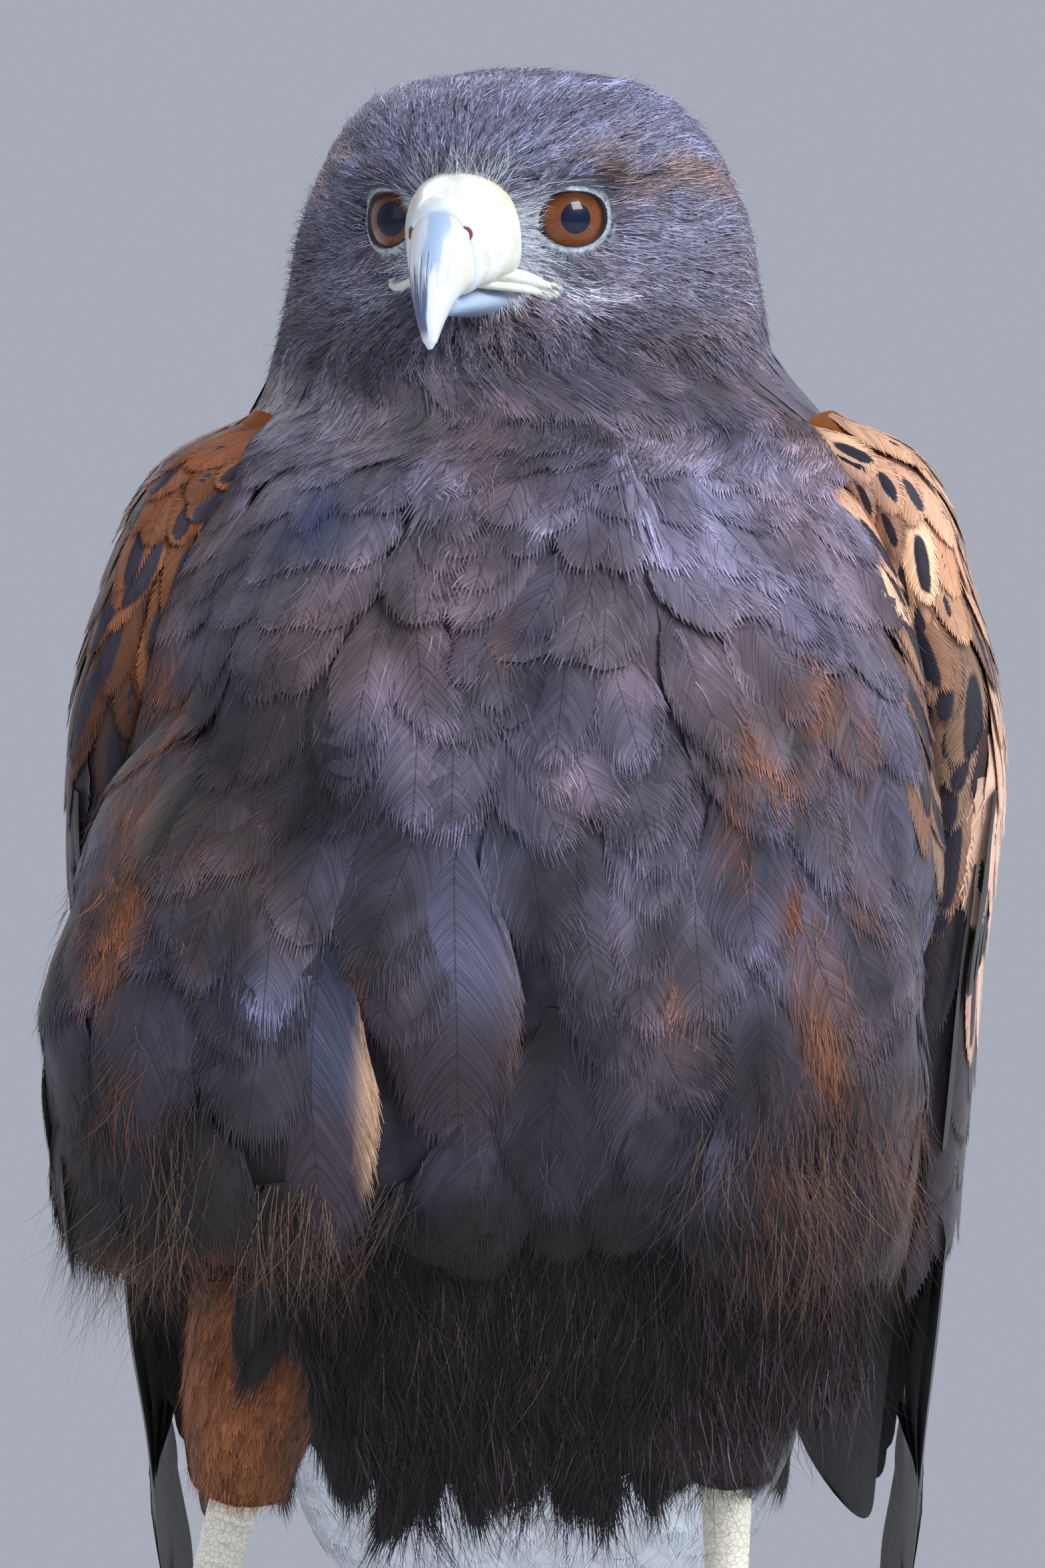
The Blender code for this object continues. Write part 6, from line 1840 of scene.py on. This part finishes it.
def tail_finish():
    """A tail feather: white at its base and tip, near black between, with fine barbs."""
    made = Finish("tail_feather", {"Roughness": 0.55, "Sheen Weight": 0.15})
    x, v, loose = made.parts(made.attribute("blade", "Vector"))
    length, half, seed = made.parts(made.attribute("span", "Vector"))
    side = abs(x)
    phase = v * length - side * half * 1.6
    streak = made.noise(made.vector(phase * 1.8, side * 0.6, seed * 40.0), 1.0, 2.0)
    ragged = v + (streak - 0.5) * 0.02
    white = made.span(ragged, 0.17, 0.23, 1.0, 0.0) + made.span(ragged, 0.925, 0.945)
    colour = made.mix(white, made.attribute("core"), made.attribute("ground"))
    shaft = made.span(side, 0.02, 0.07, 1.8, 1.0)
    made.set("Base Color", made.scaled(colour, made.span(streak, 0.3, 0.7, 0.82, 1.2) * shaft))
    made.bump(streak, 0.0004, 0.5)
    return made.material


def plain_feather(name, roughness):
    """Skin under the coat and single strands: the colour of its points with fine mottling."""
    made = Finish(name, {"Roughness": roughness, "Specular IOR Level": 0.25})
    grain = made.noise(made.place(), 900.0, 3.0)
    made.set("Base Color", made.scaled(made.attribute("ground"), grain * 0.5 + 0.75))
    made.bump(grain, 0.0003, 0.5)
    return made.material


def leg_finish():
    """Pale yellow scaled skin, darker in the seams."""
    made = Finish("leg_skin", {"Roughness": 0.48, "Coat Weight": 0.10, "Subsurface Weight": 0.06,
                               "Subsurface Radius": (0.004, 0.002, 0.001),
                               "Subsurface Scale": 0.5})
    place = made.place()
    cells = made.node("TexVoronoi", {"feature": "DISTANCE_TO_EDGE"}, {"Vector": place, "Scale": 900.0},
                      "Distance")
    seam = made.span(cells, 0.0, 0.06)
    patch = made.noise(place, 160.0, 3.0)
    colour = made.mix(patch, screen(246, 240, 218), screen(253, 251, 240))
    colour = made.mix(seam, screen(222, 212, 184), colour)
    made.set("Base Color", colour)
    made.bump(seam, 0.0002, 0.6)
    return made.material


def cere_finish():
    """Waxy pale yellow skin, yellower over the top of its back half and bluish toward the horn, with a dark red
    rim and a pale middle in the nostril.
    """
    made = Finish("cere_skin", {"Roughness": 0.38, "Coat Weight": 0.15, "Subsurface Weight": 0.08,
                                "Subsurface Radius": (0.003, 0.002, 0.001),
                                "Subsurface Scale": 0.5})
    along, nostril, high = made.parts(made.attribute("tone", "Vector"))
    place = made.place()
    patch = made.noise(place, 260.0, 3.0)
    colour = made.mix(made.span(patch, 0.35, 0.65), screen(213, 214, 200), screen(229, 233, 230))
    rim = made.span(along, 0.50, 0.20) * made.span(high, 0.35, 0.80) * made.span(along, 0.02, 0.12)
    colour = made.mix(rim * 0.5, colour, screen(212, 210, 146))
    colour = made.mix(made.span(along, 0.80, 1.0, 0.0, 0.6), colour, screen(206, 220, 240))
    rim = made.span(nostril, 0.10, 0.45) * made.span(nostril, 0.98, 0.80)
    colour = made.mix(rim, colour, screen(120, 40, 48))
    made.set("Base Color", made.mix(made.span(nostril, 0.92, 1.0), colour, screen(176, 160, 164)))
    made.bump(made.noise(place, 1100.0, 4.0), 0.00016, 0.7)
    return made.material


def horn_finish():
    """Pale blue horn with chalky patches, running to dark slate streaks before a pale tip."""
    made = Finish("bill_horn", {"Roughness": 0.26, "Coat Weight": 0.25, "Coat Roughness": 0.15})
    along, aside, high = made.parts(made.attribute("tone", "Vector"))
    place = made.place()
    wide = made.noise(made.vector(along * 3.0, aside * 2.4, high * 2.0), 1.6, 3.0)
    fine = made.noise(made.vector(along * 2.4, aside * 15.0, high * 8.0), 1.6, 3.0)
    blue = made.span(abs(aside - 0.22) + (wide - 0.5) * 0.7, 0.70, 0.25) * made.span(
        along + (wide - 0.5) * 0.5, 0.52, 0.34)
    colour = made.mix(blue, screen(220, 226, 234), screen(160, 182, 210))
    colour = made.mix(made.span(abs(aside) - along * 2.0, 0.30, 0.48) * 0.9, colour, screen(222, 221, 204))
    dark = made.span(along + (fine - 0.5) * 1.1, 0.40, 0.56) * made.span(
        aside + (wide - 0.5) * 0.5, 0.22, -0.02) * made.span(along, 0.95, 0.84)
    edge = made.span(aside, -0.80, -0.97, 0.0, 0.7)
    colour = made.mix(dark * 0.9 + edge * made.span(along, 0.10, 0.40), colour, screen(48, 64, 112))
    made.set("Base Color", colour)
    made.bump(fine, 0.00015, 0.35)
    return made.material


def claw_finish():
    """Black horn, a little paler at the root, with fine lengthwise grain."""
    made = Finish("talon_horn", {"Roughness": 0.28, "Coat Weight": 0.2})
    along, _, _ = made.parts(made.attribute("tone", "Vector"))
    grain = made.noise(made.place(), 420.0, 3.0)
    colour = made.mix(made.span(along, 0.0, 0.25), screen(62, 60, 66), screen(22, 22, 28))
    made.set("Base Color", made.scaled(colour, grain * 0.6 + 0.7))
    made.bump(grain, 0.0001, 0.4)
    return made.material


def eye_finish():
    """Chestnut iris with radial fibres round a blue-black pupil whose blue is a painted reflection, all under a
    clear wet coat, with a painted shadow over the top.
    """
    made = Finish("eye_gloss", {"Roughness": 0.3, "Specular IOR Level": 0.1, "Coat Weight": 0.55,
                                "Coat Roughness": 0.015, "Coat IOR": 1.45})
    theta, cosine, sine = made.parts(made.attribute("tone", "Vector"))
    fibre = made.noise(made.vector(cosine * 9.0, sine * 9.0, theta * 3.0), 1.4, 4.0, 0.65)
    fleck = made.noise(made.vector(cosine * theta * 30.0, sine * theta * 30.0, 0.0), 1.3, 2.0)
    iris = made.mix(fibre, screen(86, 44, 22), screen(134, 76, 36))
    iris = made.mix(made.span(fleck, 0.50, 0.72, 0.0, 0.6), iris, screen(78, 38, 20))
    iris = made.mix(made.span(theta, 0.60, 0.76), iris, screen(46, 24, 18))
    pupil = made.span(theta + (fibre - 0.5) * 0.01, 0.335, 0.318)
    # The pupil's blue is a painted reflection.
    colour = made.mix(pupil, iris, screen(8, 18, 44))
    # Painted shadow of the upper lid and brow over the top of the eye.
    made.set("Base Color", made.scaled(colour, made.span(sine * theta, 0.10, 0.60, 1.0, 0.40)))
    return made.material


def lid_finish():
    """Bare pale blue-grey skin with a dark wet rim at the eye and tiny folds beyond it."""
    made = Finish("lid_skin", {"Roughness": 0.46, "Coat Weight": 0.1})
    beyond, above, aside = made.parts(made.attribute("tone", "Vector"))
    grain = made.noise(made.place(), 1400.0, 3.0)
    colour = made.mix(made.span(grain, 0.30, 0.70), screen(120, 132, 144), screen(186, 194, 202))
    colour = made.mix(made.span(beyond, 0.24, 0.14), colour, screen(26, 24, 32))
    colour = made.mix(made.span(beyond, 0.55, 0.90, 0.0, 0.7), colour, screen(110, 112, 126))
    made.set("Base Color", colour)
    made.bump(grain, 0.00012, 0.6)
    return made.material


FINISH = {
    "small": feather_finish("head_feather", 0.72, 0.20, 3.6, 0.20, 0.95, 1.06),
    "body": feather_finish("body_feather", 0.66, 0.20, 3.2, 0.42, 0.45, 1.08, tip=0.15),
    "covert": feather_finish("shoulder_feather", 0.62, 0.15, 2.8, 0.22, 0.70, 1.16, middle=0.66,
                             narrow=0.62, loose=0.16),
    "quill": feather_finish("wing_quill", 0.50, 0.12, 2.0, 0.14, 1.60, 1.10, 1.5),
    "soft": feather_finish("soft_feather", 0.74, 0.25, 3.0, 0.14, 0.95, 1.12),
    "tail": tail_finish(),
    "skin": plain_feather("skin", 0.8),
    "hair": plain_feather("strand", 0.6),
    "leg": leg_finish(),
    "cere": cere_finish(),
    "horn": horn_finish(),
    "claw": claw_finish(),
    "eye": eye_finish(),
    "lid": lid_finish(),
}


# Studio

def studio():
    """A pale round floor, three soft lights and the camera."""
    around = np.linspace(0, 2 * math.pi, 97)
    reach = np.linspace(0, 3.2, 9)[:, None]
    grid = np.stack(np.broadcast_arrays(reach * np.cos(around), reach * np.sin(around), 0.0 * reach),
                    axis=-1)
    mesh = bpy.data.meshes.new("floor")
    mesh.from_pydata(grid.reshape(-1, 3), [], sheet_faces(9, 97))
    mesh.shade_smooth()
    made = Finish("floor", {"Roughness": 0.9, "Base Color": (0.72, 0.73, 0.74, 1.0)})
    mesh.materials.append(made.material)
    floor = bpy.data.objects.new("floor", mesh)
    bpy.context.scene.collection.objects.link(floor)
    for name, place, aim, size, power, colour in (
            ("key", (1.05, -1.25, 1.30), (0, -0.1, 0.22), 0.8, 40.0, (0.96, 0.97, 1.0)),
            ("fill", (-1.30, -1.50, 0.90), (0, -0.1, 0.20), 1.2, 3.0, (0.92, 0.96, 1.0)),
            ("rim", (-0.50, 1.20, 1.30), (0, 0, 0.20), 0.9, 16.0, (1.0, 0.98, 0.95))):
        light = bpy.data.lights.new(name, "AREA")
        light.shape, light.size, light.energy, light.color = "SQUARE", size, power, colour
        lamp = bpy.data.objects.new(name, light)
        lamp.location = place
        way = np.array(aim) - np.array(place)
        lamp.rotation_euler = (math.atan2(math.hypot(way[0], way[1]), -way[2]), 0,
                               math.atan2(-way[0], way[1]))
        lamp.visible_camera = False
        bpy.context.scene.collection.objects.link(lamp)
    world = bpy.data.worlds.new("studio")
    world.use_nodes = True
    sky = world.node_tree.nodes["Background"]
    sky.inputs["Color"].default_value = (0.80, 0.85, 1.0, 1.0)
    sky.inputs["Strength"].default_value = 0.48
    bpy.context.scene.world = world
    lens = bpy.data.cameras.new("camera")
    lens.clip_end = 60.0
    lens.sensor_fit, lens.sensor_height = "VERTICAL", 36.0
    distance, seen = 8.0, 0.28224
    lens.lens = lens.sensor_height * distance / seen
    camera = bpy.data.objects.new("camera", lens)
    camera.location = (-0.0023 + SHIFT[0], SHIFT[1] - distance, 0.2069)
    camera.rotation_euler = (math.pi / 2, 0, 0)
    bpy.context.scene.collection.objects.link(camera)
    bpy.context.scene.camera = camera
    bpy.context.scene.view_settings.view_transform = "Standard"


random = np.random.default_rng(23)
body_skin(BODY, FINISH["skin"])
bill_and_cere()
eyes_and_lids()
head_coat(random)
body_coat(random)
bristles(random)
wisps(random)
for side in ("left", "right"):
    wing_coverts(side, random)
    wing_quills(side, random)
    thigh_coat(side, random)
    bare_leg(side)
    foot_and_claws(side)
tail_quills(random)
tail_coverts(random)
studio()
